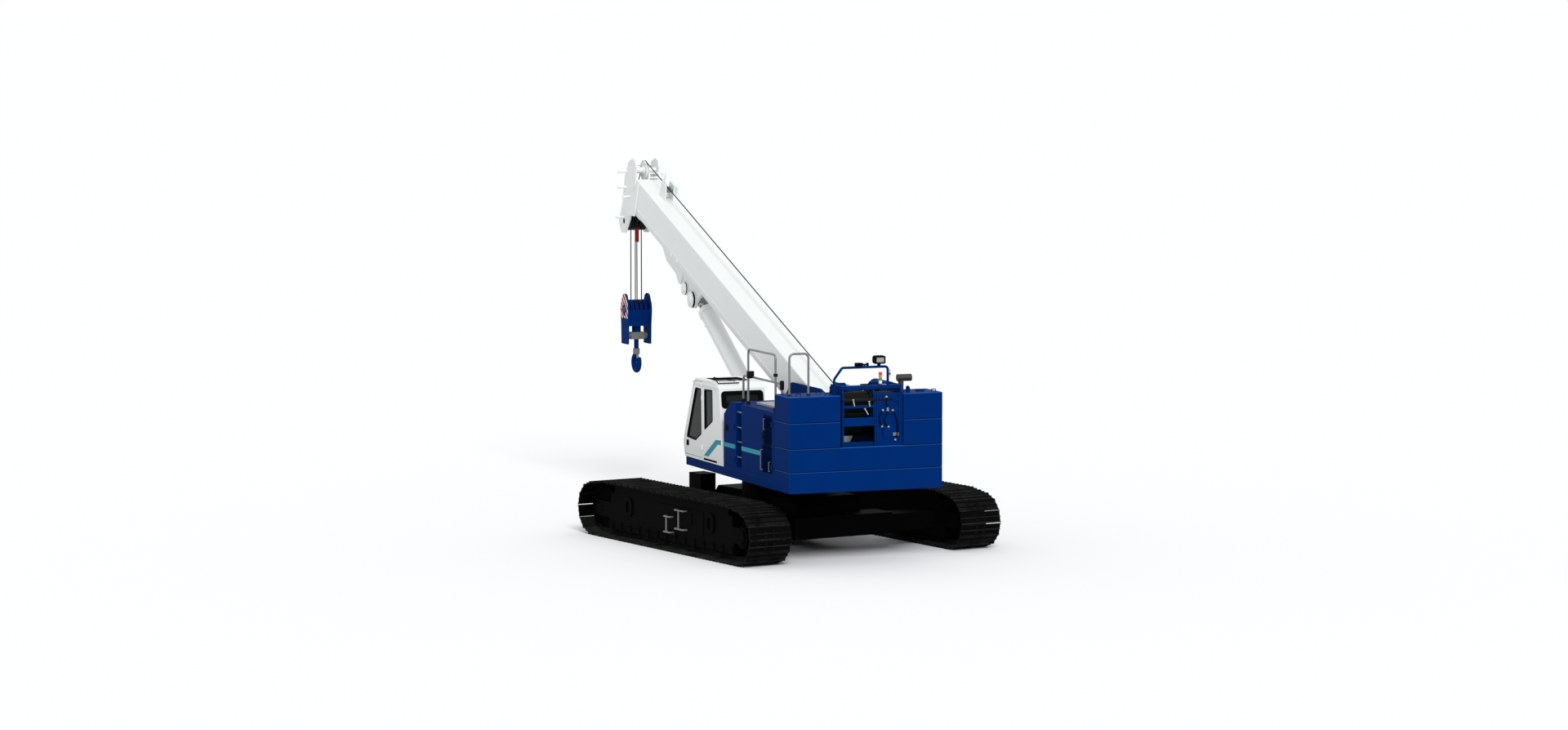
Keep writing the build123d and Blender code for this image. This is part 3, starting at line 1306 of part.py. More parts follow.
def upper_nodes():
    """Every node fixed to the deck, and the doors and drums on it."""
    nodes = {
        "deck_frame": deck_frame(), "hinge_pins": hinge_pins(),
        "left_house": left_house(), "right_house": right_house(),
        "engine_block": engine_block(), "fuel_tank": fuel_tank(), "handrails": handrails(),
        "walkway": walkway(), "winch_frame": winch_frame(), "lamp_hoop": lamp_hoop(),
        "exhaust": exhaust(), "cab_shell": cab_shell(),
        "cab_door": cab_door(), "cab_glass": cab_glass(), "cab_door_glass": cab_door_glass(),
        "operator_seat": operator_seat(),
    }
    nodes.update(winch_drums())
    nodes.update(counterweight())
    for name, front, rear, top, side in SERVICE_DOORS:
        nodes[name] = service_door(name, front, rear, top, side)
    return nodes


def main():
    """Write one file for each node."""
    os.makedirs("parts", exist_ok=True)
    nodes = undercarriage()
    nodes.update(upper_nodes())
    nodes.update(boom_nodes())
    for name, shape in nodes.items():
        shape.label = name
        export_step(shape, "parts/" + name + ".step")
    print(len(nodes), "nodes")


if __name__ == "__main__":
    main()
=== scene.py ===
# %% [markdown]
# # Dressing a telescopic crawler crane
# The crane's solids come packed as a fixed frame: every plate, tube and shaft is
# already in place, in metres, with +X forward along the boom, +Y to the cab's side
# and +Z up. This lesson gives each of them its finish and adds what a drawing of
# solids leaves out: window rubbers, stripes, bolts, screens, hoses, a seat, ropes.

# %% Load the frame
from math import atan2, cos, degrees, exp, hypot, pi, radians, sin, tau

import bpy
from mathutils import Matrix, Vector


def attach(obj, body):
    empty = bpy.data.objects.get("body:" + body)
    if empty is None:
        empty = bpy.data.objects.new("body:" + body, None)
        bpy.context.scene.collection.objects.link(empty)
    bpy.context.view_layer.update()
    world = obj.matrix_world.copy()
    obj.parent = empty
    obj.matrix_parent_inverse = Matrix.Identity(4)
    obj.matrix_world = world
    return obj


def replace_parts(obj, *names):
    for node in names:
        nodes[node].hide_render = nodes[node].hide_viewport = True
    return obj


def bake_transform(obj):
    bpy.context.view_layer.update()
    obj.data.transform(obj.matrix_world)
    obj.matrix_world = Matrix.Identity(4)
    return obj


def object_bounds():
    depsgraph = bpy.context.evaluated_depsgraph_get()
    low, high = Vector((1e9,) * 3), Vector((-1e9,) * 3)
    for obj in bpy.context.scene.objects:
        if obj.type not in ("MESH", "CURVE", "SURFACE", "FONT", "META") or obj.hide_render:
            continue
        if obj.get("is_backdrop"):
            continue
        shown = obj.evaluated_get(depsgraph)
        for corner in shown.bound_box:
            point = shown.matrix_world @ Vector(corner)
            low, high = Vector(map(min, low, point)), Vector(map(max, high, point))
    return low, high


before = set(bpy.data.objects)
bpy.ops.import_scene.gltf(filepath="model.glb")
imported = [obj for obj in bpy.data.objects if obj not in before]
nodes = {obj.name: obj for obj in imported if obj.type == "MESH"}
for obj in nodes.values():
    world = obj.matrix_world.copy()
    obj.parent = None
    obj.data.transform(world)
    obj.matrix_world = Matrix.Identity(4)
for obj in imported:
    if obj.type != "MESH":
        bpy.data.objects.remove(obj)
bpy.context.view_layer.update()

scene = bpy.context.scene

# %% [markdown]
# ## Working by hand, in code
# Every new piece starts as a primitive and is shaped with the operators that the
# mouse would call. An operator acts on all that is selected, so each helper first
# selects nothing, then exactly what it means. A finished piece has its rotation,
# scale and place applied, so that its object stays at the origin.

# %% Helpers for modelling
def select_only(*objects):
    """Selects these objects, or nothing, and makes the first one active."""
    bpy.ops.object.select_all(action="DESELECT")
    for item in objects:
        item.select_set(True)
    if objects:
        bpy.context.view_layer.objects.active = objects[0]


def add(operator, **settings):
    """A new object from one of Blender's add operators, selected alone."""
    select_only()
    operator(**settings)
    return bpy.context.object


def apply_place(location=True, rotation=True, scale=True):
    """Moves the active object's place, turn or size into its mesh."""
    bpy.ops.object.transform_apply(location=location, rotation=rotation, scale=scale)


def settle(name, material, body="upper"):
    """Applies the active object's place, names it, finishes it and lets it ride on its body."""
    piece = bpy.context.object
    select_only(piece)
    apply_place()
    piece.name = name
    piece.data.name = name
    piece.data.materials.clear()
    piece.data.materials.append(material)
    if body:
        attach(piece, body)
    return piece


def edit_faces(piece, choose=None):
    """Enters edit mode with the faces selected for which choose(face) is true, or with all."""
    select_only(piece)
    bpy.ops.object.mode_set(mode="EDIT")
    bpy.ops.mesh.select_mode(type="FACE")
    bpy.ops.mesh.select_all(action="DESELECT" if choose else "SELECT")
    if choose:
        leave_edit()
        for face in piece.data.polygons:
            face.select = bool(choose(face))
        bpy.ops.object.mode_set(mode="EDIT")


def leave_edit():
    """Back to object mode."""
    bpy.ops.object.mode_set(mode="OBJECT")


def looking(direction, least=0.9):
    """A test for a face: its normal points along the direction."""
    return lambda face: face.normal.dot(Vector(direction)) > least


def press(piece, choose, *steps):
    """Insets the chosen faces and moves them, once for each (width, move)."""
    edit_faces(piece, choose)
    for width, move in steps:
        bpy.ops.mesh.inset(thickness=width)
        bpy.ops.transform.translate(value=move)
    leave_edit()


def modify(piece, kind, **settings):
    """Gives the piece a modifier with these settings and applies it."""
    select_only(piece)
    modifier = piece.modifiers.new(kind.lower(), kind)
    for key, value in settings.items():
        setattr(modifier, key, value)
    bpy.ops.object.modifier_apply(modifier=modifier.name)
    return piece


def repeat(piece, count, step):
    """A row of copies, each one step further on."""
    return modify(piece, "ARRAY", use_relative_offset=False, use_constant_offset=True, count=count,
                  constant_offset_displace=step)


def soften(piece, width, segments=2):
    """Rounds the piece's sharp edges."""
    return modify(piece, "BEVEL", width=width, segments=segments, limit_method="ANGLE")


def smooth(piece, angle=35.0):
    """Shades the piece smooth over its shallow edges."""
    select_only(piece)
    bpy.ops.object.shade_smooth_by_angle(angle=radians(angle))
    return piece


def join(pieces):
    """Several objects made one."""
    select_only(*pieces)
    if len(pieces) > 1:
        bpy.ops.object.join()
    return bpy.context.object


def start_box(low, high, turn=0.0):
    """A box between two corners. turn leans it about its own centre, nose up, in radians."""
    low, high = Vector(low), Vector(high)
    piece = add(bpy.ops.mesh.primitive_cube_add, size=1, location=(low + high) / 2, rotation=(0, -turn, 0))
    piece.scale = high - low
    apply_place(location=False, rotation=False)
    return piece


def start_block(low, high, rounding, segments=2, turn=0.0):
    """A box with rounded edges."""
    return soften(start_box(low, high, turn), rounding, segments)


def start_rod(radius, start, end, sides=16):
    """A round bar between two points."""
    start, end = Vector(start), Vector(end)
    along = end - start
    return add(bpy.ops.mesh.primitive_cylinder_add, vertices=sides, radius=radius, depth=along.length,
               location=(start + end) / 2, rotation=along.to_track_quat("Z", "Y").to_euler())


print("helpers ready")

# %% [markdown]
# ## Effects that several finishes share
# Paint is never one flat colour: it drifts from panel to panel, dust lies on what
# faces up and near the ground, and edges are lighter: wear and painted highlight.
# Each effect is a node group with named inputs, so that a material says only how
# much of it there is. A group is written as a table of nodes and a text of links.

# %% Shader groups
def find(sockets, key):
    """A socket by its number, or by its name with _ for a space."""
    return sockets[int(key)] if key.isdigit() else sockets[key.replace("_", " ")]


def grow(tree, parts, table, links):
    """Adds nodes to a tree, links them and returns them by label.

    A node reads "label Kind property=value Input=value", where a kind in capitals is a
    sum, and a link reads "node.output > node.input". Semicolons stand between.
    """
    for line in filter(None, table.split(";")):
        label, kind, *pairs = line.split()
        if kind.isupper():
            kind, pairs = "Math", ["operation=" + kind] + pairs
        parts[label] = tree.nodes.new("ShaderNode" + kind)
        for key, value in (pair.split("=") for pair in pairs):
            if key.islower():
                setattr(parts[label], key, int(value) if value.isdigit() else value)
            else:
                numbers = [float(number) for number in value.split(",")]
                socket = find(parts[label].inputs, key)
                socket.default_value = (*numbers, 1) if len(numbers) == 3 else numbers[0]
    for line in links.split(";"):
        (start, out), (end, into) = (side.strip().split(".") for side in line.split(">"))
        tree.links.new(find(parts[start].outputs, out), find(parts[end].inputs, into))
    return parts


def shader_group(name, inputs, outputs, table, links):
    """A node group with inputs as label: default. Its own ends are called start and end."""
    group = bpy.data.node_groups.new(name, "ShaderNodeTree")
    for label, value in inputs.items():
        kind = "NodeSocketColor" if isinstance(value, tuple) else "NodeSocketFloat"
        group.interface.new_socket(label, in_out="INPUT", socket_type=kind).default_value = value
    for label in outputs:
        kind = "NodeSocketColor" if label == "Color" else "NodeSocketFloat"
        group.interface.new_socket(label, in_out="OUTPUT", socket_type=kind)
    ends = {"start": group.nodes.new("NodeGroupInput"), "end": group.nodes.new("NodeGroupOutput")}
    grow(group, ends, table, links)
    return group


PLAIN = (1, 1, 1, 1)
GROUPS = {
    # broad, faint patches that lighten and darken a colour
    "drift": shader_group(
        "colour_drift", {"Color": PLAIN, "Amount": 0.1, "Scale": 1.5}, ["Color"],
        "place TexCoord; noise TexNoise Detail=3 Roughness=0.55; low SUBTRACT 0=1; high ADD 0=1;"
        "bright MapRange From_Min=0.25 From_Max=0.75; scale VectorMath operation=SCALE",
        "place.Object > noise.Vector; start.Scale > noise.Scale; noise.Fac > bright.Value;"
        "start.Amount > low.1; start.Amount > high.1; low.0 > bright.To_Min; high.0 > bright.To_Max;"
        "start.Color > scale.0; bright.0 > scale.Scale; scale.0 > end.Color"),
    # lighter edges, worn and with a painted highlight, where the rounded normal departs from the flat one
    "edge": shader_group(
        "edge_light", {"Color": PLAIN, "Edge color": PLAIN, "Amount": 0.5}, ["Color"],
        "rounded Bevel samples=4 Radius=0.012; flat NewGeometry; dot VectorMath operation=DOT_PRODUCT;"
        "spread MapRange From_Min=0.995 From_Max=0.8 To_Max=1; speck TexNoise Scale=24 Detail=4;"
        "place TexCoord; both MULTIPLY; gain MULTIPLY use_clamp=1; mix Mix data_type=RGBA",
        "rounded.0 > dot.0; flat.Normal > dot.1; dot.Value > spread.Value; place.Object > speck.Vector;"
        "spread.0 > both.0; speck.Fac > both.1; both.0 > gain.0; start.Amount > gain.1; gain.0 > mix.0;"
        "start.Color > mix.6; start.Edge_color > mix.7; mix.2 > end.Color"),
    # dust on faces that look up, thicker towards the ground
    "dust": shader_group(
        "dust", {"Color": PLAIN, "Dust": (0.3, 0.28, 0.25, 1), "Amount": 0.1, "Height": 1.2, "Roughness": 0.3},
        ["Color", "Roughness"],
        "place TexCoord; split SeparateXYZ; facing NewGeometry; normal SeparateXYZ;"
        "noise TexNoise Scale=3.2 Detail=8 Roughness=0.65; low MapRange From_Min=0 To_Min=1 To_Max=0;"
        "up MapRange From_Min=0.3 From_Max=1 To_Max=1; most MAXIMUM; patch MapRange From_Min=0.35 From_Max=0.7;"
        "cover MULTIPLY; mask MULTIPLY use_clamp=1; mix Mix data_type=RGBA; rough Mix data_type=FLOAT 3=0.85",
        "place.Object > split.0; place.Object > noise.Vector; facing.Normal > normal.0; split.Z > low.Value;"
        "start.Height > low.From_Max; normal.Z > up.Value; low.0 > most.0; up.0 > most.1;"
        "noise.Fac > patch.Value; most.0 > cover.0; patch.0 > cover.1; cover.0 > mask.0;"
        "start.Amount > mask.1; mask.0 > mix.0; start.Color > mix.6; start.Dust > mix.7; mask.0 > rough.0;"
        "start.Roughness > rough.2; mix.2 > end.Color; rough.0 > end.Roughness"),
    # height of a fine surface: the orange peel of paint, the skin of a casting, cloth
    "grain": shader_group(
        "grain", {"Scale": 80.0, "Coarse": 0.3}, ["Height"],
        "place TexCoord; fine TexNoise Detail=3; wide TexNoise Detail=2; slower MULTIPLY 1=0.12;"
        "blend Mix data_type=FLOAT",
        "place.Object > fine.Vector; start.Scale > fine.Scale; place.Object > wide.Vector;"
        "start.Scale > slower.0; slower.0 > wide.Scale; start.Coarse > blend.0; fine.Fac > blend.2;"
        "wide.Fac > blend.3; blend.0 > end.Height"),
}
print("shader groups:", ", ".join(GROUPS))

# %% [markdown]
# ## Finishes
# The machine has few colours: deep blue, white, a teal stripe, grey tube, and black
# for all that runs on the ground. Each finish is the same chain, from the colour
# through drift, edge light and dust to the shader, with a bump for its grain. What
# is the same all over a surface, such as its gloss, sits on the shader's own socket.

# %% Finishes
def set_shader(material, **values):
    """Sets the shader's own inputs, given with _ for a space, and returns the shader."""
    shader = material.node_tree.nodes["Principled BSDF"]
    for key, value in values.items():
        find(shader.inputs, key).default_value = value
    return shader


def finish(name, colour, rough, drift, edge, dust, grain, bump, specular=0.5, metal=0.0, worn=None,
           soil=(0.3, 0.28, 0.25), reach=1.2, coarse=0.3, patch=1.5):
    """A surface; its edge colour stands for worn paint and a painted highlight, soil is the colour of its dust
    up to the height reach.
    """
    material = bpy.data.materials.new(name)
    material.use_nodes = True
    material.diffuse_color = (*colour, 1)
    tree = material.node_tree
    worn = worn or tuple(min(1.0, channel * 1.7 + 0.06) for channel in colour)
    parts = {"shader": set_shader(material, Metallic=metal, Coat_Roughness=0.08, Specular_IOR_Level=specular)}
    for key, values in (
            ("drift", {"Color": (*colour, 1), "Amount": drift, "Scale": patch}),
            ("edge", {"Edge color": (*worn, 1), "Amount": edge}),
            ("dust", {"Dust": (*soil, 1), "Amount": dust, "Height": reach, "Roughness": rough}),
            ("grain", {"Scale": grain, "Coarse": coarse})):
        node = parts[key] = tree.nodes.new("ShaderNodeGroup")
        node.node_tree, node.name = GROUPS[key], key
        for label, value in values.items():
            node.inputs[label].default_value = value
    grow(tree, parts, f"relief Bump Strength={bump} Distance=0.01",
         "drift.Color > edge.Color; edge.Color > dust.Color; dust.Color > shader.Base_Color;"
         "dust.Roughness > shader.Roughness; grain.Height > relief.Height; relief.0 > shader.Normal")
    return material


def lamp_finish(name, colour):
    """A coloured lens under a clear coat, unlit."""
    material = finish(name, colour, 0.12, 0.06, 0, 0.03, 160, 0.05)
    set_shader(material, Coat_Weight=0.6)
    return material


DEEP_BLUE = (0.0002, 0.0215, 0.135)
# name, colour, roughness, drift, edge light, dust, grain, bump, specular level, and what is special
BLUE = finish("deep_blue_paint", DEEP_BLUE, 0.42, 0.06, 0.45, 0.02, 90, 0.008, 0.005,
              worn=(0.03, 0.12, 0.4), reach=1.6)
WHITE = finish("white_paint", (0.83, 0.855, 0.845), 0.42, 0.012, 0.05, 0.03, 90, 0.004, 0.25,
               worn=(0.9, 0.9, 0.9), soil=(0.62, 0.6, 0.55))
TEAL = finish("teal_stripe", (0.022, 0.3, 0.4), 0.42, 0.05, 0, 0.03, 90, 0.01, 0.05)
BLACK = finish("black_chassis_paint", (0.0024, 0.0024, 0.0026), 0.55, 0.25, 0.3, 0.04, 60, 0.04, 0.012,
               worn=(0.02, 0.02, 0.022), soil=(0.03, 0.028, 0.025), reach=0.5)
SHOE = finish("track_shoe_steel", (0.0018, 0.0018, 0.0019), 0.55, 0.3, 0.5, 0.32, 45, 0.1, 0.02,
              worn=(0.05, 0.05, 0.052), soil=(0.095, 0.093, 0.088), reach=0.25, patch=3.5)
RAIL = finish("zinc_rail", (0.2, 0.21, 0.22), 0.38, 0.1, 0.1, 0.03, 120, 0.04, metal=0.5, patch=6.0)
TREAD = finish("tread_plate_grey", (0.42, 0.43, 0.43), 0.45, 0.14, 0.2, 0.1, 70, 0.1, metal=0.4)
DARK = finish("dark_machine_grey", (0.008, 0.008, 0.009), 0.5, 0.2, 0.25, 0.05, 60, 0.08, 0.05)
LINING = finish("cab_lining", (0.03, 0.031, 0.032), 0.7, 0.1, 0.05, 0, 350, 0.1, 0.1)
RUBBER = finish("black_rubber", (0.003, 0.003, 0.003), 0.65, 0.12, 0.08, 0.02, 220, 0.05, 0.03)
CHROME = finish("hard_chrome", (0.72, 0.73, 0.75), 0.12, 0.03, 0, 0.01, 300, 0.006, metal=1.0)
GLASS = finish("tinted_cab_glass", (0.02, 0.025, 0.023), 0.03, 0.05, 0, 0.02, 4, 0.004, 0.1, reach=0.1)
set_shader(GLASS, Transmission_Weight=0.35, IOR=1.25)
SEAT = finish("seat_cloth", (0.02, 0.02, 0.023), 0.85, 0.15, 0, 0.02, 420, 0.35, 0.3, coarse=0.1)
RED = finish("red_paint", (0.27, 0.006, 0.008), 0.4, 0.06, 0.12, 0.02, 90, 0.03, 0.2)
ROPE = finish("wire_rope", (0.009, 0.009, 0.009), 0.55, 0.2, 0, 0, 260, 0.4, 0.1, coarse=0.1)
CAST = finish("cast_sheave", (0.008, 0.008, 0.008), 0.55, 0.2, 0.25, 0.02, 70, 0.1, 0.2)
SILVER = finish("bare_steel", (0.42, 0.42, 0.41), 0.4, 0.18, 0.1, 0.03, 60, 0.05, metal=0.5)
GREY = finish("grey_casting", (0.17, 0.17, 0.17), 0.5, 0.15, 0.2, 0.03, 55, 0.1, 0.3, metal=0.2)
SOOTY = finish("sooty_exhaust_steel", (0.04, 0.04, 0.042), 0.45, 0.3, 0.15, 0.03, 80, 0.08, metal=0.3)
# a near-black blue, painted shade on the screens and the slats behind them
SHADE = finish("shaded_screen_blue", (0.0003, 0.006, 0.034), 0.55, 0.15, 0.2, 0.01, 80, 0.04, 0.005,
               worn=(0.006, 0.04, 0.16))
# a lighter blue, painted highlight on the slabs' top edges
LIT_EDGE_BLUE = finish("painted_highlight_blue_edge", (0.012, 0.075, 0.3), 0.4, 0.1, 0.2, 0.02, 90, 0.01, 0.02,
                   worn=(0.05, 0.18, 0.5))
STRIPED = finish("striped_cheek_paint", (0.5, 0.5, 0.5), 0.4, 0.05, 0.15, 0.02, 90, 0.015, 0.005)
LENS = lamp_finish("lamp_lens", (0.3, 0.31, 0.32))
SIGNAL = lamp_finish("signal_lamps", (0.5, 0.5, 0.5))
print("finishes:", len(bpy.data.materials))

# %% [markdown]
# ### Two finishes that are drawn by place
# The stack of signal lamps is one tube whose colour changes with height, and the
# hook block's cheeks carry warning stripes with a blue diamond round the pin. Both
# come from sums of the object's own coordinates, so they stay on a moving piece.

# %% Bands and stripes
LAMPS = {3.395: "0.75,0.76,0.74", 3.45: "0.006,0.3,0.035", 3.505: "0.75,0.2,0.01", 3.555: "0.62,0.01,0.012"}
tree = SIGNAL.node_tree
parts = grow(tree, {"drift": tree.nodes["drift"]},
             "place TexCoord; split SeparateXYZ; below Mix data_type=RGBA 6=0.02,0.02,0.02 7=0.02,0.02,0.02",
             "place.Object > split.0")
for height, band in LAMPS.items():
    grow(tree, parts, f"over GREATER_THAN 1={height}; colour Mix data_type=RGBA 7={band}",
         "split.Z > over.0; over.0 > colour.0; below.2 > colour.6")
    parts["below"] = parts["colour"]
grow(tree, parts, "", "colour.2 > drift.Color")

PIN_X, PIN_Z = 8.9764, 3.893
PERIOD, RED_FROM, DIAMOND, STRIPES_DOWN = 0.15, 0.44, 0.15, 0.184
tree = STRIPED.node_tree
grow(tree, {"drift": tree.nodes["drift"]},
     "place TexCoord; split SeparateXYZ; climb SUBTRACT;"
     f"turns DIVIDE 1={PERIOD}; part FRACT; is_red GREATER_THAN 1={RED_FROM};"
     f"stripes Mix data_type=RGBA 6=0.75,0.75,0.74 7=0.38,0.008,0.01; x SUBTRACT 1={PIN_X}; off_x ABSOLUTE;"
     f"z SUBTRACT 1={PIN_Z}; off_z ABSOLUTE; off ADD; diamond LESS_THAN 1={DIAMOND};"
     f"under LESS_THAN 1={PIN_Z - STRIPES_DOWN}; is_blue MAXIMUM;"
     "cheek Mix data_type=RGBA 7=" + ",".join(str(channel) for channel in DEEP_BLUE),
     "place.Object > split.0; split.Z > climb.0; split.X > climb.1; climb.0 > turns.0; turns.0 > part.0;"
     "part.0 > is_red.0; is_red.0 > stripes.0; split.X > x.0; x.0 > off_x.0; split.Z > z.0; z.0 > off_z.0;"
     "off_x.0 > off.0; off_z.0 > off.1; off.0 > diamond.0; split.Z > under.0; diamond.0 > is_blue.0;"
     "under.0 > is_blue.1; is_blue.0 > cheek.0; stripes.2 > cheek.6; cheek.2 > drift.Color")
print("drawn by place:", SIGNAL.name, STRIPED.name)

# %% [markdown]
# ## The finish of each solid
# A solid of the frame keeps its shape; only its material slots are filled. The
# table goes by how the solids' names begin, and the longest beginning wins.

# %% Finishes on the frame
FINISH_OF = {
    BLACK: "carbody slew_ring track_frame track_wheels",
    SHOE: "track_loop",
    BLUE: "deck_frame left_house right_house fuel_tank counterweight winch_frame lamp_hoop hook block_sheaves "
          "service_door engine_door exhaust",
    WHITE: "cab_shell cab_door boom guide_sheave lift_barrel",
    RAIL: "handrails hinge_pins",
    TREAD: "walkway",
    DARK: "engine_block main_winch_drum aux_winch_drum",
    ROPE: "rope_falls",
    CHROME: "lift_rod",
    GLASS: "cab_glass cab_door_glass",
    SEAT: "operator_seat",
    RED: "overhoist_weight",
    CAST: "head_sheaves",
}
by_start = {start: material for material, starts in FINISH_OF.items() for start in starts.split()}
for name, node in nodes.items():
    start = max(filter(name.startswith, by_start), key=len)
    node.data.materials.clear()
    node.data.materials.append(by_start[start])
print("finished solids:", len(nodes))

# %% [markdown]
# ### Where one solid has more than one finish
# A welded frame carries fittings in another colour, such as a lamp on a hoop. Faces
# are found by the place of their centre, in the shared frame, the boom's or the
# undercarriage's, and get a second material slot. No vertex moves. The numbers are
# the places of the solids.

# %% Second finishes, by place
BOOM_Y = -0.12
FOOT_PIN = Vector((-2.1, BOOM_Y, 2.62))
BOOM_FRAME = Matrix.Translation(FOOT_PIN) @ Matrix.Rotation(-radians(20), 4, "Y")
UNDER_FRAME = Matrix.Rotation(radians(10.15), 4, "Z")
HERE = Matrix.Identity(4)


def inside(low, high, frame_of=HERE):
    """A test for a face's centre: in a box between two corners of this frame."""
    back = frame_of.inverted()
    return lambda centre: all(a <= value <= b for a, value, b in zip(low, back @ centre, high))


def near_axis(x, z, y0, y1, radius, frame_of=HERE):
    """A test for a face's centre: within a radius of an axis along Y, between y0 and y1."""
    back = frame_of.inverted()

    def test(centre):
        point = back @ centre
        return y0 <= point.y <= y1 and hypot(point.x - x, point.z - z) <= radius

    return test


def repaint(name, material, *tests):
    """Gives a solid's faces another finish where one of the tests is true."""
    mesh = nodes[name].data
    mesh.materials.append(material)
    found = [face for face in mesh.polygons if any(test(face.center) for test in tests)]
    for face in found:
        face.material_index = len(mesh.materials) - 1
    print(f"{name}: {len(found)} faces in {material.name}")


def sided(hand, low, high):
    """Two distances from the middle plane as low and high Y on that hand's side."""
    return sorted((hand * low, hand * high))


repaint("exhaust", SOOTY, inside((-3.2, -1.4, 2.85), (-3.0, -1.012, 3.5)))
repaint("exhaust", BLACK, near_axis(-3.1, 3.41, -1.4, -1.185, 0.0602))
repaint("hook_block", GREY, inside((8.7, -0.3499, 3.25), (9.2, 0.1099, 3.411)))
repaint("hook_block", STRIPED, lambda centre: abs(centre.y - BOOM_Y) > 0.2715)
repaint("hook", GREY, inside((8.7, -0.3, 2.931), (9.2, 0.1, 3.053)))
repaint("handrails", DARK, inside((-4, 1.2, 2.859), (-1, 1.45, 2.9205)),
        inside((-4, 0.9, 3.209), (-3.6, 1.45, 3.231)))
repaint("lamp_hoop", BLACK, inside((-4.1, -0.45, 3.7345), (-3.8, 0.2, 4)),
        inside((-4, -0.56, 3.5), (-3.9, -0.5095, 3.7)))
repaint("lamp_hoop", LENS, inside((-3.986, -0.386, 3.79), (-3.984, -0.224, 3.892)))
repaint("lamp_hoop", SIGNAL, inside((-3.953, -0.368, 3.369), (-3.887, -0.302, 3.611)))
repaint("winch_frame", SILVER, near_axis(-3.4, 3.29, -0.74, 0.45, 0.0405))
repaint("winch_frame", BLACK, near_axis(-3.4, 3.29, -0.3205, -0.1545, 0.0605))
repaint("winch_frame", DARK, near_axis(-3.7, 3.04, -0.719, -0.2001, 0.191),
        near_axis(-3.98, 3.1, -0.71, 0.42, 0.0305))
repaint("winch_frame", GREY, inside((-4.03, -0.67, 2.4), (-4.0005, -0.54, 2.5)))
# black on the ears round each eye's disc: painted shade of the gap between disc and ear
for hand in (-1, 1):
    repaint("boom_base", RUBBER, near_axis(7.3, -0.8, *sided(hand, 0.1841, 0.2259), 0.1375, BOOM_FRAME),
            near_axis(7.78, -0.76, *sided(hand, 0.1841, 0.2079), 0.1105, BOOM_FRAME))
repaint("boom_base", RAIL, inside((9.7, -0.079, 0.51), (10.1, 0.079, 0.6), BOOM_FRAME))
repaint("fuel_tank", BLACK, inside((0.5, -1.5, 2.2305), (0.9, -1.1, 2.4)))
repaint("cab_door", BLACK, inside((1.3, 1.5405, 1.79), (1.35, 1.6, 1.92)))
repaint("cab_door", LINING, lambda centre: centre.y < 1.4905)
repaint("cab_shell", BLACK, inside((1.45, 0.69, 1.584), (1.55, 1.45, 1.641)),
        inside((-0.271, 1.519, 1.599), (0.451, 1.5399, 1.641)))
for name, front, hand in (("service_door_front", -0.7, 1), ("service_door_rear", -2.64, 1),
                          ("engine_door", -1.3, -1)):
    low, high = sided(hand, 1.5405, 1.56)
    repaint(name, BLACK, inside((front - 0.101, low, 2.315), (front - 0.049, high, 2.4)))
for name, hand in (("track_frame_left", 1), ("track_frame_right", -1)):
    low, high = sided(hand, 2.623, 2.75)
    repaint(name, GREY, inside((-0.665, low, 0.41), (-0.295, high, 0.82), UNDER_FRAME),
            inside((-0.155, low, 0.31), (0.115, high, 0.66), UNDER_FRAME))
EYE = BOOM_FRAME @ Vector((7.3, 0, -0.8))
repaint("lift_rod", WHITE, near_axis(EYE.x, EYE.z, -0.24, 0.0, 0.146))

# %% [markdown]
# The cab is white outside and dark within, or its tinted panes would look bright.
# A face of the shell is inside when it lies a wall's thickness in from the side
# outline and from both sides.

# %% The cab's lining
CAB_OUTLINE = [(-0.6, 1.575), (1.5, 1.575), (1.577, 1.85), (1.53, 2.02), (1.04, 3.05), (0.9, 3.16),
               (-0.3, 3.16), (-0.38, 3.05)]
WALL = 0.0495


def depth_in_cab(x, z):
    """How far a point of the side view lies inside the cab's outline."""
    return min(((x1 - x0) * (z - z0) - (z1 - z0) * (x - x0)) / hypot(x1 - x0, z1 - z0)
               for (x0, z0), (x1, z1) in zip(CAB_OUTLINE, CAB_OUTLINE[1:] + CAB_OUTLINE[:1]))


repaint("cab_shell", LINING,
        lambda centre: 0.6 + WALL < centre.y < 1.54 - WALL and depth_in_cab(centre.x, centre.z) > WALL)

# %% [markdown]
# ## Window rubbers
# Each pane of the cab sits in a black rubber: a flat outline whose corners are
# bevelled, inset to a ring and pulled out to a thickness. One helper makes the
# outline from its corners and puts it on the wall it belongs to.

# %% Outlines and rings
FORWARD, REARWARD, LEFTWARD, UPWARD = (1, 0, 0), (-1, 0, 0), (0, 1, 0), (0, 0, 1)


def shifted(move, place):
    """A place moved in the shared frame."""
    return Matrix.Translation(move) @ place


def plane_at(origin, across, up):
    """A place whose first two axes are across and up."""
    across, up = Vector(across).normalized(), Vector(up).normalized()
    turn = Matrix((across, up, across.cross(up))).transposed().to_4x4()
    return Matrix.Translation(origin) @ turn


def start_outline(corners, place, radius=0.0):
    """A flat face with these corners in its own plane, rounded to the radius."""
    piece = add(bpy.ops.mesh.primitive_circle_add, vertices=len(corners), radius=1, fill_type="NGON")
    for vertex, (x, y) in zip(piece.data.vertices, corners):
        vertex.co = (x, y, 0)
    if radius:
        edit_faces(piece)
        bpy.ops.mesh.bevel(offset=radius, segments=5, affect="VERTICES")
        leave_edit()
    piece.matrix_world = place
    return piece


def face_outwards():
    """Turns all normals outwards and leaves edit mode."""
    bpy.ops.mesh.select_all(action="SELECT")
    bpy.ops.mesh.normals_make_consistent(inside=False)
    leave_edit()


def pull_out(piece, thick):
    """Gives a flat piece its thickness along its own Z."""
    edit_faces(piece)
    along = piece.matrix_world.to_3x3() @ Vector((0, 0, thick))
    bpy.ops.mesh.extrude_region_move(TRANSFORM_OT_translate={"value": along})
    face_outwards()
    return piece


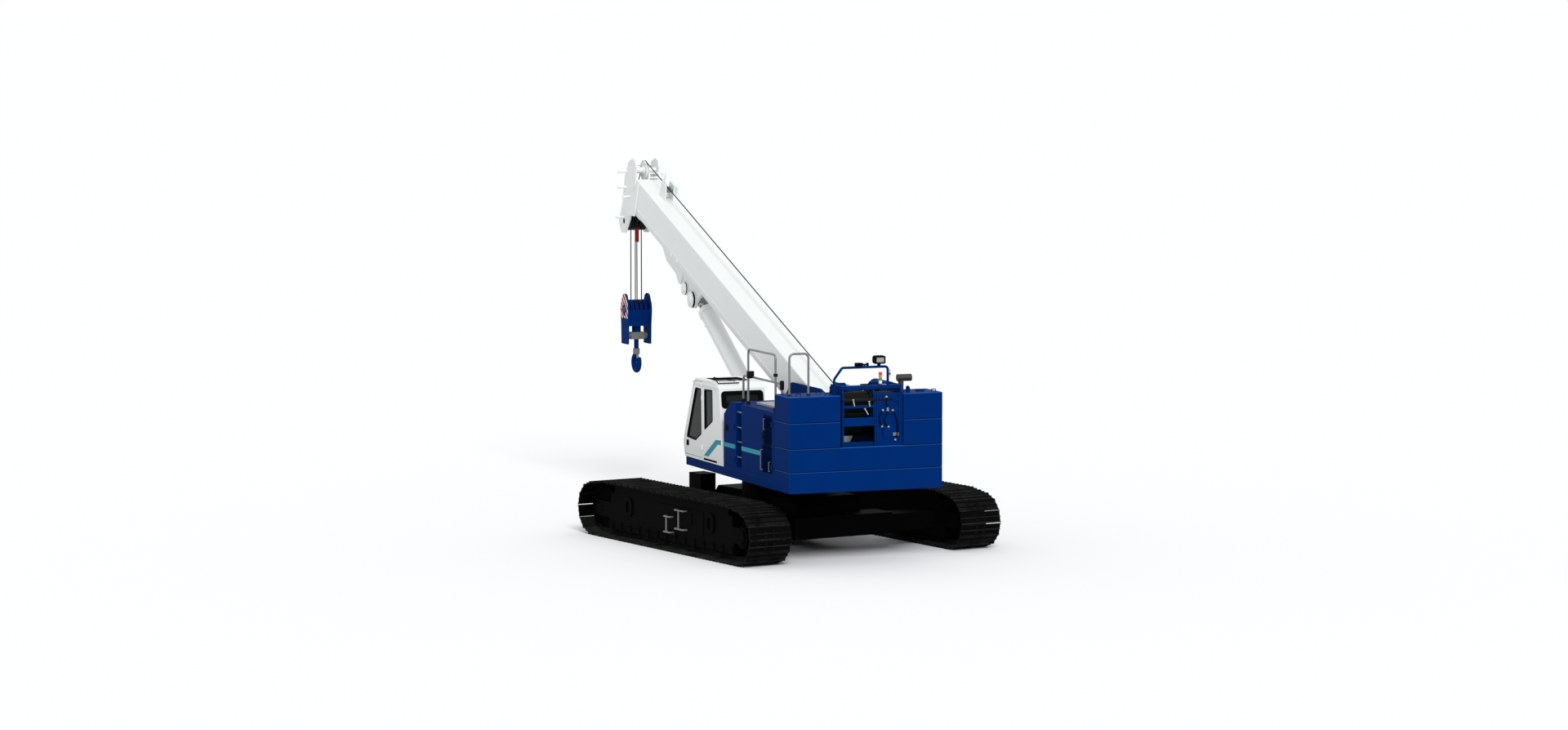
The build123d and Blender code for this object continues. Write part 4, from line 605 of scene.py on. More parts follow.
def start_ring(corners, place, radius, width, thick):
    """A flat ring of this width inside an outline."""
    piece = start_outline(corners, place, radius)
    edit_faces(piece)
    bpy.ops.mesh.inset(thickness=width)
    bpy.ops.mesh.delete(type="FACE")
    leave_edit()
    return pull_out(piece, thick)


def rectangle(width, height):
    """Corners of a rectangle about the middle."""
    x, y = width / 2, height / 2
    return [(-x, -y), (x, -y), (x, y), (-x, y)]


def uphill(out):
    """The way up along a leaning wall that looks out."""
    return Vector((-out.z, 0, out.x))


SUNK, PROUD = 0.0195, 0.003
left_wall = plane_at((0, 1.54, 0), FORWARD, UPWARD)
front_out = Vector((1.03, 0, 0.49)).normalized()
back_out = Vector((-1.475, 0, 0.22)).normalized()
front_middle, back_middle = Vector((1.285, 1.07, 2.535)), Vector((-0.417, 1.07, 2.86))
left_place = shifted((0, -SUNK, 0), left_wall)
inner_place = plane_at((0, 0.6 + SUNK, 0), FORWARD, UPWARD)
front_place, back_place = (plane_at(middle - SUNK * out, LEFTWARD, uphill(out))
                           for middle, out in ((front_middle, front_out), (back_middle, back_out)))
roof_place = plane_at((0.35, 1.07, 3.16 - SUNK), LEFTWARD, REARWARD)
DOOR_WINDOW = [(0.595, 2.973), (0.91, 2.975), (1.404, 1.959), (0.894, 1.934), (0.578, 2.083)]
SIDE_WINDOW = [(0.428, 2.98), (-0.029, 2.998), (-0.048, 2.392), (0.41, 2.173)]
for name, corners, place, radius, width, thick, body in (
        ("door", DOOR_WINDOW, left_place, 0.045, 0.03, -SUNK - PROUD, "cab_door"),
        ("side", SIDE_WINDOW, left_place, 0.045, 0.03, -SUNK - PROUD, "upper"),
        ("inner", DOOR_WINDOW, inner_place, 0.045, 0.03, SUNK + PROUD, "upper"),
        ("front", rectangle(0.77, 1.0), front_place, 0.045, 0.035, SUNK + PROUD, "upper"),
        ("rear", rectangle(0.75, 0.27), back_place, 0.08, 0.042, SUNK + 4 * PROUD, "upper"),
        ("roof", rectangle(0.67, 0.72), roof_place, 0.045, 0.035, SUNK + PROUD, "upper")):
    soften(start_ring(corners, place, radius, width, thick), 0.003, 1)
    settle(name + "_window_rubber", RUBBER, body)
    print(name, "window's rubber on", body)

# %% [markdown]
# ## Stripes
# The teal stripe runs along the house and turns down across the cab. It is film,
# an outline under 2 mm thick. A door carries its own length of it, or the stripe
# would stay behind when the door opens.

# %% Stripes on the left side
FILM, BEDDED = 0.0015, 0.0003
STRIPES = (
    ("cab_stripe", "upper", [(0.443, 1.686), (-0.209, 2.05), (-0.487, 2.064), (-0.487, 1.97), (-0.33, 1.973),
                             (0.195, 1.686)]),
    ("house_stripe_front", "upper", [(-0.652, 1.975), (-0.652, 2.056), (-0.692, 2.056), (-0.692, 1.975)]),
    ("house_stripe_door", "service_door_front",
     [(-0.709, 1.975), (-0.709, 2.056), (-1.216, 2.062), (-1.216, 1.979)]),
    ("house_stripe_post", "upper", [(-1.234, 1.979), (-1.234, 2.062), (-1.268, 2.062), (-1.268, 1.979)]),
    ("house_stripe_rear", "upper", [(-1.592, 1.98), (-1.592, 2.064), (-2.56, 2.072), (-2.56, 1.986)]),
)
for name, body, corners in STRIPES:
    pull_out(start_outline(corners, shifted((0, BEDDED, 0), left_wall)), -FILM)
    settle(name, TEAL, body)
print("lengths of stripe:", len(STRIPES))

# %% [markdown]
# ## Bars, handles and hoses
# A bent bar is a path given a round section. The path is a curve with a few points
# and order 2 for straight runs or 3 for rounded corners, made a mesh at the end.

# %% Bent bars
def start_tube(points, radius, order=2, steps=4, sides=1):
    """A round bar through these points."""
    path = add(bpy.ops.curve.primitive_nurbs_path_add)
    path.matrix_world = HERE
    path.data.splines.clear()
    spline = path.data.splines.new("NURBS")
    spline.points.add(len(points) - 1)
    for point, place in zip(spline.points, points):
        point.co = (*place, 1)
    spline.use_endpoint_u, spline.order_u, spline.resolution_u = True, order, steps
    path.data.bevel_depth, path.data.bevel_resolution, path.data.use_fill_caps = radius, sides, True
    bpy.ops.object.convert(target="MESH")
    return bpy.context.object


def start_handle(x, y, low, high, radius, stand=0.045):
    """An upright handle on the left side that stands off on a foot plate at each end."""
    ends = [Vector((x, y, z)) for z in (low, high)]
    (foot, head), out = ends, Vector(LEFTWARD)
    away = out * stand
    bar = start_tube([foot, foot + away, foot + away, head + away, head + away, head], radius, 3, 5, 2)
    feet = [start_rod(radius * 1.8, end - out * 0.004, end + out * 0.006, 12) for end in ends]
    return smooth(join([bar] + feet))


HANDLES = (("service_door_handle", -2.7, 1.54, 1.736, 2.11, 0.008),
           ("louvre_handle", -3.085, 1.525, 1.736, 1.91, 0.007),
           ("upper_door_handle", -2.81, 1.525, 2.5, 2.7, 0.007))
for name, *shape in HANDLES:
    start_handle(*shape)
    settle(name, GREY, "service_door_rear")
print("handles:", len(HANDLES))

# %% [markdown]
# ## Bolts
# One bolt is modelled, a hexagon whose top is inset and raised, on a washer, and
# copied to each place with its own mesh: on the shoes, the side frames and the
# slewing ring. The copies of one kind on one body are joined.

# %% One bolt and its copies
def start_bolt(radius, height):
    """A hexagon head on its washer, standing on the origin."""
    head = add(bpy.ops.mesh.primitive_cylinder_add, vertices=6, radius=radius, depth=height,
               location=(0, 0, height / 2))
    apply_place(rotation=False, scale=False)
    press(head, looking(UPWARD), (radius * 0.22, (0, 0, height * 0.15)))
    return join([head, start_rod(radius * 1.4, (0, 0, 0), (0, 0, height * 0.22), 9)])


def standing(point, out):
    """The place of a piece that stands on a point and looks along out."""
    return shifted(point, Vector(out).to_track_quat("Z", "Y").to_matrix().to_4x4())


def scatter(piece, places):
    """One object made of a copy of the piece at each place."""
    twins = []
    for place in places:
        twin = piece.copy()
        twin.data = piece.data.copy()
        scene.collection.objects.link(twin)
        twin.matrix_world = place @ piece.matrix_world
        twins.append(twin)
    bpy.data.objects.remove(piece)
    return join(twins)


def bolt_circle(centre, axis, radius, count, frame_of=HERE):
    """Places evenly round an axis, looking along it."""
    axis = Vector(axis)
    first = axis.orthogonal().normalized() * radius
    arms = [Matrix.Rotation(tau * (index + 0.5) / count, 3, axis) @ first for index in range(count)]
    return [frame_of @ standing(Vector(centre) + arm, axis) for arm in arms]


def valleys(name, centre):
    """Middle and outward direction of each groove between the ribs of a track's shoes."""
    mesh = nodes[name].data
    found = {}
    for face in mesh.polygons:
        if face.area > 0.025 and face.normal.dot(face.center - centre) > 0:
            a, b, c = (mesh.vertices[index].co for index in face.vertices)
            longest = max(((a, c), (b, a), (c, b)), key=lambda ends: (ends[0] - ends[1]).length)
            middle = sum(longest, Vector()) / 2
            found[tuple(round(value, 3) for value in middle)] = (middle, face.normal.copy())
    return list(found.values())


SPROCKET_X, WHEEL_Z, TRACK_Y = 2.77, 0.53, 2.36
ROLLERS, FIRST_ROLLER, ROLLER_Z = 14, -2.275, 0.275
for hand, side in ((1, "left"), (-1, "right")):
    across = UNDER_FRAME.to_3x3() @ Vector(LEFTWARD)
    grooves = valleys("track_loop_" + side, UNDER_FRAME @ Vector((0, hand * TRACK_Y, 0.56)))
    scatter(start_bolt(0.015, 0.013),
            [standing(middle + across * shift, out) for middle, out in grooves for shift in (-0.09, 0.09)])
    settle(f"shoe_bolts_{side}", SHOE, side + "_track")
    out = (0, hand, 0)
    places = []
    for x, y, radius, count in ((-SPROCKET_X, 2.68, 0.165, 14), (-SPROCKET_X, 2.722, 0.09, 8),
                                (SPROCKET_X, 2.61, 0.115, 8)):
        places += bolt_circle((x, hand * y, WHEEL_Z), out, radius, count, UNDER_FRAME)
    for index in range(ROLLERS):
        x = FIRST_ROLLER - 2 * FIRST_ROLLER * index / (ROLLERS - 1)
        places += [UNDER_FRAME @ standing((x + shift, hand * 2.634, ROLLER_Z), out)
                   for shift in (-0.035, 0.035)]
    scatter(start_bolt(0.014, 0.014), places)
    settle(f"side_frame_bolts_{side}", BLACK, side + "_track")
    print(side, "track:", len(grooves), "grooves with bolts,", len(places), "bolts on its frame")

scatter(start_bolt(0.017, 0.028), bolt_circle((0, 0, 1.22), UPWARD, 0.83, 44))
settle("slew_ring_bolts", BLACK, "undercarriage")

# %% [markdown]
# ## Pads and pins on the boom
# Bolts on the mouth's collar hold the pads that the next section slides on, and the
# pins at the boom's foot and on the hook block end in a cover plate with bolts.

# %% Bolts on the boom and the hook block
scatter(start_bolt(0.013, 0.012),
        [BOOM_FRAME @ standing((u, hand * 0.328, w), (0, hand, 0))
         for hand in (-1, 1) for u in (10.79, 10.86) for w in (0.24, 0.08, -0.08, -0.24)])
settle("boom_pad_bolts", WHITE, "boom")
for name, x, z, half, radius, body, material in (
        ("foot_pin_bolts", FOOT_PIN.x, FOOT_PIN.z, 0.455, 0.055, "upper", RAIL),
        ("block_pin_bolts", PIN_X, PIN_Z, 0.272, 0.035, "hook_block", GREY)):
    right, left = (bolt_circle((x, BOOM_Y + hand * half, z), (0, hand, 0), radius, 6) for hand in (-1, 1))
    scatter(start_bolt(0.011, 0.01), right + left)
    settle(name, material, body)
    print(name, "on", body)

# %% [markdown]
# ## Tread on the walkway
# The walkway has raised lozenges that cross each other. One lozenge is a low box
# with its top drawn in, turned by 45 degrees; two array modifiers repeat it, and a
# second set is turned the other way between them.

# %% Tread plate
PITCH = 0.07
sets = []
for turn, shift in ((45, 0.0), (-45, PITCH / 2)):
    lozenge = start_box((-0.021, -0.0055, -0.0015), (0.021, 0.0055, 0.0015))
    edit_faces(lozenge, looking(UPWARD))
    bpy.ops.transform.resize(value=(0.75, 0.5, 1))
    leave_edit()
    lozenge.rotation_euler.z = radians(turn)
    apply_place(location=False, scale=False)
    repeat(repeat(lozenge, 22, (PITCH, 0, 0)), 8, (0, PITCH, 0))
    lozenge.location = (-3.2 + shift, 0.67 + shift, 2.9012)
    sets.append(lozenge)
join(sets)
tread = settle("tread_lozenges", TREAD)
print("tread plate:", len(tread.data.polygons), "faces")

# %% [markdown]
# ## Ropes
# The hoist rope leaves the main drum over its top, runs straight along the boom,
# turns over the guide sheave and goes down in front of the head sheaves, so that it
# only wraps further round them when the boom rises. A real rope gets longer as the
# boom slides out; here each section carries its own length on the same line, so
# that drawn out they make one. The first two metres run straight from the drum to the boom.

# %% Rope lengths along the boom
ROPE_RADIUS, THINNER, LAP = 0.011, 0.0002, 0.204
TAIL, MOUTH, GUIDE_U = 2.0, 11.2, 11.345
MAIN_DRUM, SECOND_DRUM = Vector((-3.2, BOOM_Y, 2.6)), Vector((-3.7, BOOM_Y, 3.04))
GUIDE = BOOM_FRAME @ Vector((GUIDE_U, 0, 0.395))
HEAD_PIN = BOOM_FRAME @ Vector((11.488, 0, -0.822))
BLOCK = Vector((HEAD_PIN.x, BOOM_Y, HEAD_PIN.z - 1.884))
boom_up = BOOM_FRAME.to_3x3() @ Vector(UPWARD)
rope_start, rope_end = MAIN_DRUM + boom_up * 0.251, GUIDE + boom_up * LAP


def rope_at(u):
    """The rope's point at this distance along the boom."""
    back = BOOM_FRAME.inverted()
    start, end = (back @ rope_start).x, (back @ rope_end).x
    return rope_start.lerp(rope_end, (u - start) / (end - start))


def rope(name, points, body, radius=ROPE_RADIUS):
    """A length of rope through these points, straight between them."""
    smooth(start_tube(points, radius, sides=2), 60)
    return settle(name, ROPE, body)


for index, (body, first, last) in enumerate((
        ("head", TAIL, GUIDE_U), ("section_4", TAIL, MOUTH), ("section_3", TAIL, MOUTH),
        ("section_2", TAIL, MOUTH), ("boom", 0.9, MOUTH))):
    points = [rope_at(first), rope_at((first + last) / 2), rope_at(last)]
    rope("rope_on_" + body, points, body, ROPE_RADIUS - THINNER * index)
lead = rope("rope_from_drum", [rope_at(-1.04 + 0.194 * step) for step in range(11)], None)
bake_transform(lead)
print("rope line:", [round(value, 3) for value in rope_start], "to", [round(value, 3) for value in rope_end])

# %% [markdown]
# Over a sheave the rope is a path of points on a circle a little larger than the
# groove's floor. Each fall hangs from such an arc and turns under a sheave of the
# block with another one.

# %% Rope over the sheaves
def arc(centre, radius, first, last, y, count=14):
    """Points on a circle in the upright plane at y, angles in degrees from forward to up."""
    angles = [radians(first + (last - first) * index / count) for index in range(count + 1)]
    return [(centre.x + radius * cos(angle), y, centre.z + radius * sin(angle)) for angle in angles]


HEAD_LAP, BLOCK_LAP, APART = 0.1893, 0.1943, 0.05
between = HEAD_PIN - GUIDE
leaves = degrees(atan2(between.x, -between.z))
rope("rope_over_guide_sheave", arc(GUIDE, LAP, 110, leaves, BOOM_Y)
     + arc(HEAD_PIN, HEAD_LAP, leaves, 0, BOOM_Y + APART, 4), "head")
for index, y in enumerate((BOOM_Y - APART, BOOM_Y + APART), 1):
    rope(f"rope_over_head_sheave_{index}", arc(HEAD_PIN, HEAD_LAP, 180, 0, y), "head")
    rope(f"rope_under_block_sheave_{index}", arc(BLOCK, BLOCK_LAP, 180, 360, y), "hook_block")
print("falls:", index * 2)

# %% [markdown]
# On a drum the rope lies in turns side by side. One turn is a ring; an array
# repeats it along the drum's axis at the rope's own pitch.

# %% Rope wound on the drums
ROPE_PITCH = 0.0223
for name, drum, first, radius, count, body in (
        ("rope_on_main_drum", MAIN_DRUM, -0.446, 0.229, 30, "main_winch"),
        ("rope_on_second_drum", SECOND_DRUM, -0.126, 0.19, 24, "aux_winch")):
    turns = add(bpy.ops.mesh.primitive_torus_add, major_radius=radius, minor_radius=ROPE_RADIUS,
                major_segments=44, minor_segments=6, location=(drum.x, first, drum.z), rotation=(pi / 2, 0, 0))
    apply_place(scale=False)
    smooth(repeat(turns, count, (0, ROPE_PITCH, 0)), 80)
    turns = settle(name, ROPE, body)
    print(name, "has", count, "turns and", len(turns.data.polygons), "faces")

# %% [markdown]
# ## Joints between the slabs
# The joint between two slabs reads as a dark line with a bright edge under it. The
# line is painted shade: a flat black ring a little way inside the groove. The bright
# edge is the slab's own broken edge facing the sky, a lighter blue that is a painted highlight.

# %% Painted shade in the joints and painted highlights on the edges
LEFT, RIGHT, LEFT_BLOCK, RIGHT_BLOCK = 1.54, -1.54, 0.516, -0.751
LEVELS = (1.805, 2.24, 2.72, 3.21)
# black rings in the grooves between slabs: painted shade
for name, level, right, left in (
        ("slab_joint", 0, RIGHT, LEFT), ("left_block_joint", 1, LEFT_BLOCK, LEFT),
        ("left_upper_joint", 2, LEFT_BLOCK, LEFT), ("right_block_joint", 1, RIGHT, RIGHT_BLOCK),
        ("right_upper_joint", 2, RIGHT, RIGHT_BLOCK)):
    place = plane_at((-3.68, (left + right) / 2, LEVELS[level] - 0.005), FORWARD, LEFTWARD)
    start_ring(rectangle(0.75, left - right - 0.01), place, 0.0, 0.012, 0.01)
    settle(name, RUBBER)
# the top edge of each slab: painted highlight
for name, level in (("slab_lower", 0), ("slab_upper", 1), ("left_lower", 2), ("right_lower", 2),
                    ("left_upper", 3), ("right_upper", 3)):
    top = LEVELS[level]
    repaint("counterweight_" + name, LIT_EDGE_BLUE,
            inside((-4.07, -1.55, top - 0.0135), (-3.2, 1.55, top - 0.0005)))
print("joints and edges done")

# %% [markdown]
# Each upper block is lifted by staples, bent bars that stand on its top.

# %% Lifting staples
STAPLES = ((-3.9, 0.72), (-3.9, 1.3), (-3.46, 0.72), (-3.9, -0.86), (-3.9, -1.42))
BENDS = ((-0.045, 3.205), (-0.045, 3.255), (0.045, 3.255), (0.045, 3.205))
smooth(join([start_tube([(x, y + aside, z) for aside, z in BENDS], 0.009, sides=2) for x, y in STAPLES]), 50)
settle("lifting_staples", BLUE)
print("staples:", len(STAPLES))

# %% [markdown]
# ## Latches on the left side
# A paddle latch sits in a black dish. The dish is a rounded outline with a
# thickness, inset and pushed back in the middle, and the paddle a softened block.

# %% Paddle latches
for name, x, z, width, height, body in (
        ("front_door_latch", -0.795, 2.34, 0.145, 0.115, "service_door_front"),
        ("rear_door_latch", -2.73, 2.37, 0.145, 0.125, "service_door_rear"),
        ("cab_door_latch", 1.335, 1.855, 0.125, 0.105, "cab_door")):
    place = plane_at((x, 1.5406, z), REARWARD, UPWARD)
    dish = pull_out(start_outline(rectangle(width, height), place, 0.018), 0.006)
    apply_place()
    press(dish, looking(LEFTWARD), (0.01, (0, -0.004, 0)))
    half = Vector((width * 0.3, 0.0, height * 0.26))
    paddle = start_block(Vector((x, 1.541, z)) - half, Vector((x, 1.556, z)) + half, 0.004)
    smooth(join([dish, paddle]))
    settle(name, RUBBER, body)
    print(name, "on", body)

# %% [markdown]
# ## Screens on the rear service door
# Behind the ladder the house breathes through three dark screens. A screen is a
# grid whose wires get a thickness from the wireframe modifier, in a flat frame.
# Screens and the slats behind them are a near-black blue that is painted shade.

# %% Mesh screens
GRID = 0.024
# the slats in the door's recess: painted shade
repaint("service_door_rear", SHADE, inside((-3.14, 1.48, 1.7), (-2.75, 1.5395, 2.73)))
for name, rear, front, low, high in (("screen_upper", -3.165, -2.765, 2.53, 2.762),
                                     ("screen_middle", -3.165, -2.815, 2.24, 2.492),
                                     ("screen_lower", -3.165, -2.69, 1.705, 2.19)):
    width, height = front - rear, high - low
    place = plane_at(((rear + front) / 2, 1.5425, (low + high) / 2), REARWARD, UPWARD)
    screen = add(bpy.ops.mesh.primitive_grid_add, x_subdivisions=round(width / GRID),
                 y_subdivisions=round(height / GRID), size=1)
    screen.matrix_world = place @ Matrix.Diagonal((width, height, 1, 1))
    apply_place()
    modify(screen, "WIREFRAME", thickness=0.007, use_even_offset=False)
    edge = rectangle(width + 0.02, height + 0.02)
    join([screen, start_ring(edge, shifted((0, -0.0025, 0), place), 0.01, 0.014, 0.006)])
    settle(name, SHADE, "service_door_rear")
    print(name, "made")

# %% [markdown]
# ## Roof and windows of the cab
# A gutter runs over the door, and the arms of the roof wiper stand over a dark bar
# at the roof's rear edge. The windscreen has a wiper of its own, and the rear
# window a second, flat ring on the wall.

# %% Roof trims and wipers
gutter = [(x, 1.545, z) for x, z in ((1.02, 3.068), (0.9, 3.146), (0.3, 3.15), (-0.28, 3.148), (-0.362, 3.06))]
smooth(start_tube(gutter, 0.008, order=3, steps=6))
settle("roof_gutter", WHITE)
hub_x, hub_y = 0.235, 1.4
join([start_block((-0.345, 1.1, 3.15), (-0.275, 1.535, 3.1595), 0.003, 1),
      start_tube([(hub_x, hub_y, 3.212), (-0.31, 1.535, 3.166)], 0.0085),
      start_tube([(hub_x, hub_y, 3.212), (-0.11, 1.1, 3.166)], 0.0085),
      start_rod(0.02, (hub_x, hub_y, 3.158), (hub_x, hub_y, 3.222), 12)])
settle("roof_wiper", RUBBER)
wall_place = shifted(0.0196 * back_out + 0.022 * uphill(back_out), back_place)
start_ring(rectangle(0.87, 0.335), wall_place, 0.075, 0.075, 0.004)
settle("rear_window_surround", RUBBER)


def over_glass(out, up, aside=0.05):
    """A point over the windscreen, from the foot of the wiper."""
    foot = front_middle + front_out * 0.012 - uphill(front_out) * 0.6
    return foot + front_out * out + uphill(front_out) * up + Vector((0, aside, 0))


join([start_rod(0.022, over_glass(0, 0, 0), over_glass(0.03, 0, 0), 12),
      start_tube([over_glass(0.022, 0, 0), over_glass(0.026, 0.42)], 0.006),
      start_tube([over_glass(0.01, 0.16), over_glass(0.01, 0.74)], 0.007)])
settle("front_wiper", RUBBER)
print("roof trims and wipers made")

# %% [markdown]
# Short black clamps hold the walkway's low rail to the high one.

# %% Rail clamps
CLAMPS = (((-1.625, 1.29, 3.35), (-1.555, 1.425, 3.49)), ((-3.135, 1.275, 3.26), (-3.065, 1.345, 3.43)),
          ((-3.035, 1.365, 3.5), (-2.965, 1.435, 3.56)))
smooth(join([start_block(low, high, 0.012) for low, high in CLAMPS]))
settle("rail_clamps", DARK)
print("clamps:", len(CLAMPS))

# %% [markdown]
# ## Hoses and fittings behind the winches
# The rear of the winch frame carries bright rods of the rope keeper, a valve block
# and black hoses. Each end of a hose sits in a hexagon fitting.

# %% Winch hydraulics
keepers = []
for top, low in (((0.249, 3.111), (0.222, 2.996)), ((-0.071, 3.075), (-0.085, 2.985)),
                 ((0.011, 2.938), (-0.052, 2.834))):
    top, low = Vector((-4.012, *top)), Vector((-4.012, *low))
    keepers += [start_rod(0.013, top, low, 12), start_rod(0.022, top, top + (top - low) * 0.12, 6)]
smooth(join(keepers))
settle("rope_keeper_rods", SILVER)

valve = start_block((-4.026, -0.62, 2.835), (-3.996, -0.3, 2.955), 0.006)
press(valve, looking(REARWARD), (0.012, (0.006, 0, 0)))
cover = start_rod(0.135, (-3.999, -0.47, 2.5), (-4.022, -0.47, 2.5), 32)
press(cover, looking(REARWARD), (0.03, (0.01, 0, 0)), (0.05, (-0.012, 0, 0)))
ribs = [start_block((-4.022, y - 0.006, 2.3), (-3.996, y + 0.006, 3.2), 0.002, 1) for y in (-0.235, -0.675)]
smooth(join([valve, soften(cover, 0.004)] + ribs))
settle("valve_block", BLUE)

HOSES = (
    [(-4.026, -0.34, 2.905), (-4.046, -0.33, 2.9), (-4.048, -0.26, 2.8),
     (-4.044, -0.28, 2.66), (-4.02, -0.33, 2.6)],
    [(-4.026, -0.44, 2.9), (-4.048, -0.44, 2.88), (-4.046, -0.36, 2.74),
     (-4.046, -0.4, 2.62), (-4.016, -0.46, 2.59)],
    [(-4.026, -0.54, 2.9), (-4.048, -0.55, 2.88), (-4.048, -0.62, 2.72),
     (-4.046, -0.64, 2.46), (-4.01, -0.6, 2.34)],
    [(-4.01, -0.42, 3.15), (-4.04, -0.42, 3.14), (-4.044, -0.4, 3.06),
     (-4.04, -0.42, 2.99), (-4.026, -0.44, 2.93)],
)
smooth(join([start_tube(points, 0.011, order=3, steps=8, sides=2) for points in HOSES]), 60)
settle("winch_hoses", RUBBER)
ports = []
for points in HOSES:
    for end, following in ((points[0], points[1]), (points[-1], points[-2])):
        along = Vector(following) - Vector(end)
        ports.append(standing(Vector(end) - along.normalized() * 0.004, along))
smooth(scatter(start_bolt(0.017, 0.026), ports), 30)
settle("hose_fittings", SILVER)
print("hoses:", len(HOSES), "fittings:", len(ports))

# %% [markdown]
# ## Lift cylinder and hook
# A black seal closes the barrel round the rod and tilts with it. The two end faces
# of a rod are inset and opened, and the open edges bridged.

# %% Rod's seal
BARREL_FOOT, ROD_EYE = Vector((0.55, BOOM_Y, 1.62)), Vector((5.0334, BOOM_Y, 4.365))
barrel_along = (ROD_EYE - BARREL_FOOT).normalized()
mouth = (ROD_EYE - BARREL_FOOT).length - 0.427
seal = start_rod(0.152, *(BARREL_FOOT + barrel_along * (mouth + end) for end in (-0.004, 0.024)), 40)
edit_faces(seal, lambda face: len(face.vertices) > 4)
bpy.ops.mesh.inset(thickness=0.04)
bpy.ops.mesh.delete(type="FACE")
bpy.ops.mesh.select_mode(type="EDGE")
bpy.ops.mesh.select_non_manifold()
bpy.ops.mesh.bridge_edge_loops()
face_outwards()
smooth(soften(seal, 0.004))
settle("rod_seal", RUBBER, "lift_barrel")
print("barrel's mouth at", round(mouth, 3), "m along its axis")

# %% [markdown]
# Each eye under the boom has a black ring between its disc and the ear, painted shade of the gap there.

# %% Eye rings of painted shade
rings = []
for u, w, radius, y0, y1 in ((7.3, -0.8, 0.164, 0.186, 0.224), (7.78, -0.76, 0.131, 0.186, 0.206)):
    for hand in (-1, 1):
        ends = [BOOM_FRAME @ Vector((u, hand * y, w)) for y in (y0, y1)]
        rings.append(soften(start_rod(radius, *ends, 40), 0.006, 3))
smooth(join(rings))
settle("eye_gap_shade_rings", RUBBER, "boom")
print("eye rings:", len(rings))

# %% [markdown]
# A sprung plate leans across the hook's throat, so that a sling can't slip out.

# %% Hook latch
plate = start_block((8.835, -0.145, 2.905), (8.985, -0.095, 2.913), 0.003, 1, turn=atan2(0.09, 0.12))
smooth(join([plate, start_rod(0.014, (8.968, -0.155, 2.957), (8.968, -0.085, 2.957), 12)]))
settle("hook_latch", SILVER, "hook")
print("hook latch made")

# %% [markdown]
# ## The operator's seat
# The seat is upholstery on a sprung pedestal, between two consoles with levers. Its
# pads are firm and moulded, so each is a block that is subdivided, crowned towards
# the middle, drawn in along its sides, and furrowed where the sewn channels are. A
# subdivision surface then rounds it. The back leans by ten degrees.

# %% Cushions
CROWN, CHANNEL_WIDTH, CHANNEL_DEPTH = 0.4, 0.07, 0.1


def start_cushion(low, high, thin_axis, channels, lean):
    """A padded block, thick in the middle, with sewn channels across it."""
    piece = start_box(low, high)
    edit_faces(piece)
    bpy.ops.mesh.subdivide(number_cuts=15)
    leave_edit()
    half = (Vector(high) - Vector(low)) / 2
    side, length = [axis for axis in (1, 2, 0) if axis != thin_axis]
    for vertex in piece.data.vertices:
        share = [vertex.co[axis] / half[axis] for axis in range(3)]
        swell = (1 - share[side] ** 4) * (1 - share[length] ** 4)
        furrow = sum(exp(-(((share[length] - place) / CHANNEL_WIDTH) ** 2)) for place in channels)
        depth = CHANNEL_DEPTH * furrow * (1 - share[side] ** 6)
        vertex.co[thin_axis] *= 1 - CROWN + CROWN * swell - depth
        vertex.co[side] *= 1 - 0.05 * (1 - share[length] ** 2)
        vertex.co[length] *= 1 - 0.04 * (1 - share[side] ** 2)
    piece.matrix_world = piece.matrix_world @ Matrix.Rotation(-lean, 4, "Y")
    return smooth(modify(piece, "SUBSURF", levels=1, render_levels=1), 60)


CUSHIONS = (
    ("seat_cushion", (-0.05, 0.825, 2.015), (0.475, 1.315, 2.13), 2, (-0.35, 0.05, 0.45), 0.0),
    ("seat_back", (-0.11, 0.835, 2.13), (0.000, 1.305, 2.6), 0, (-0.45, 0.0, 0.45), radians(-10)),
    ("seat_headrest", (-0.165, 0.93, 2.61), (-0.08, 1.21, 2.745), 0, (), radians(-10)),
)
for name, *shape in CUSHIONS:
    start_cushion(*shape)
    pad = settle(name, SEAT)
    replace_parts(pad, "operator_seat")
print("cushions:", len(CUSHIONS))

# %% [markdown]
# Under the cushion is a rubber bellows, a stack of softened slabs of two sizes on
# a base plate. The consoles are blocks whose tops are inset and lowered, and each
# carries a lever with a round knob.

# %% Pedestal, consoles and levers
SLAB = 0.045
stack = [start_block((0.03, 0.9, 1.625), (0.39, 1.24, 1.665), 0.008)]
for index in range(6):
    inset = 0.0 if index % 2 else 0.025
    low = Vector((0.05 + inset, 0.9 + inset, 1.665 + SLAB * index))
    stack.append(start_block(low, (0.37 - inset, 1.24 - inset, low.z + SLAB), 0.016))
stack.append(start_block((0.0, 0.87, 1.935), (0.42, 1.27, 2.012), 0.015))
smooth(join(stack))
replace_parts(settle("seat_pedestal", RUBBER), "operator_seat")

consoles = []
for near, far in ((1.325, 1.445), (0.695, 0.815)):
    middle = (near + far) / 2
    console = start_block((-0.02, near, 2.085), (0.52, far, 2.205), 0.018, 3)
    press(console, looking(UPWARD, 0.99), (0.015, (0, 0, -0.008)))
    foot = start_block((0.1, middle - 0.04, 1.8), (0.3, middle + 0.04, 2.1), 0.01)
    lever = start_tube([(x, middle, z) for x, z in ((0.42, 2.19), (0.42, 2.26), (0.44, 2.32))], 0.008, 3, 6, 2)
    boot = start_rod(0.034, (0.42, middle, 2.19), (0.42, middle, 2.225), 20)
    edit_faces(boot, looking(UPWARD, 0.99))
    bpy.ops.transform.resize(value=(0.45, 0.45, 1))
    leave_edit()
    knob = smooth(soften(start_rod(0.021, (0.437, middle, 2.31), (0.449, middle, 2.362)), 0.009, 3))
    consoles += [console, foot, lever, boot, knob]
smooth(join(consoles))
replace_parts(settle("control_consoles", LINING), "operator_seat")
print("seat made")

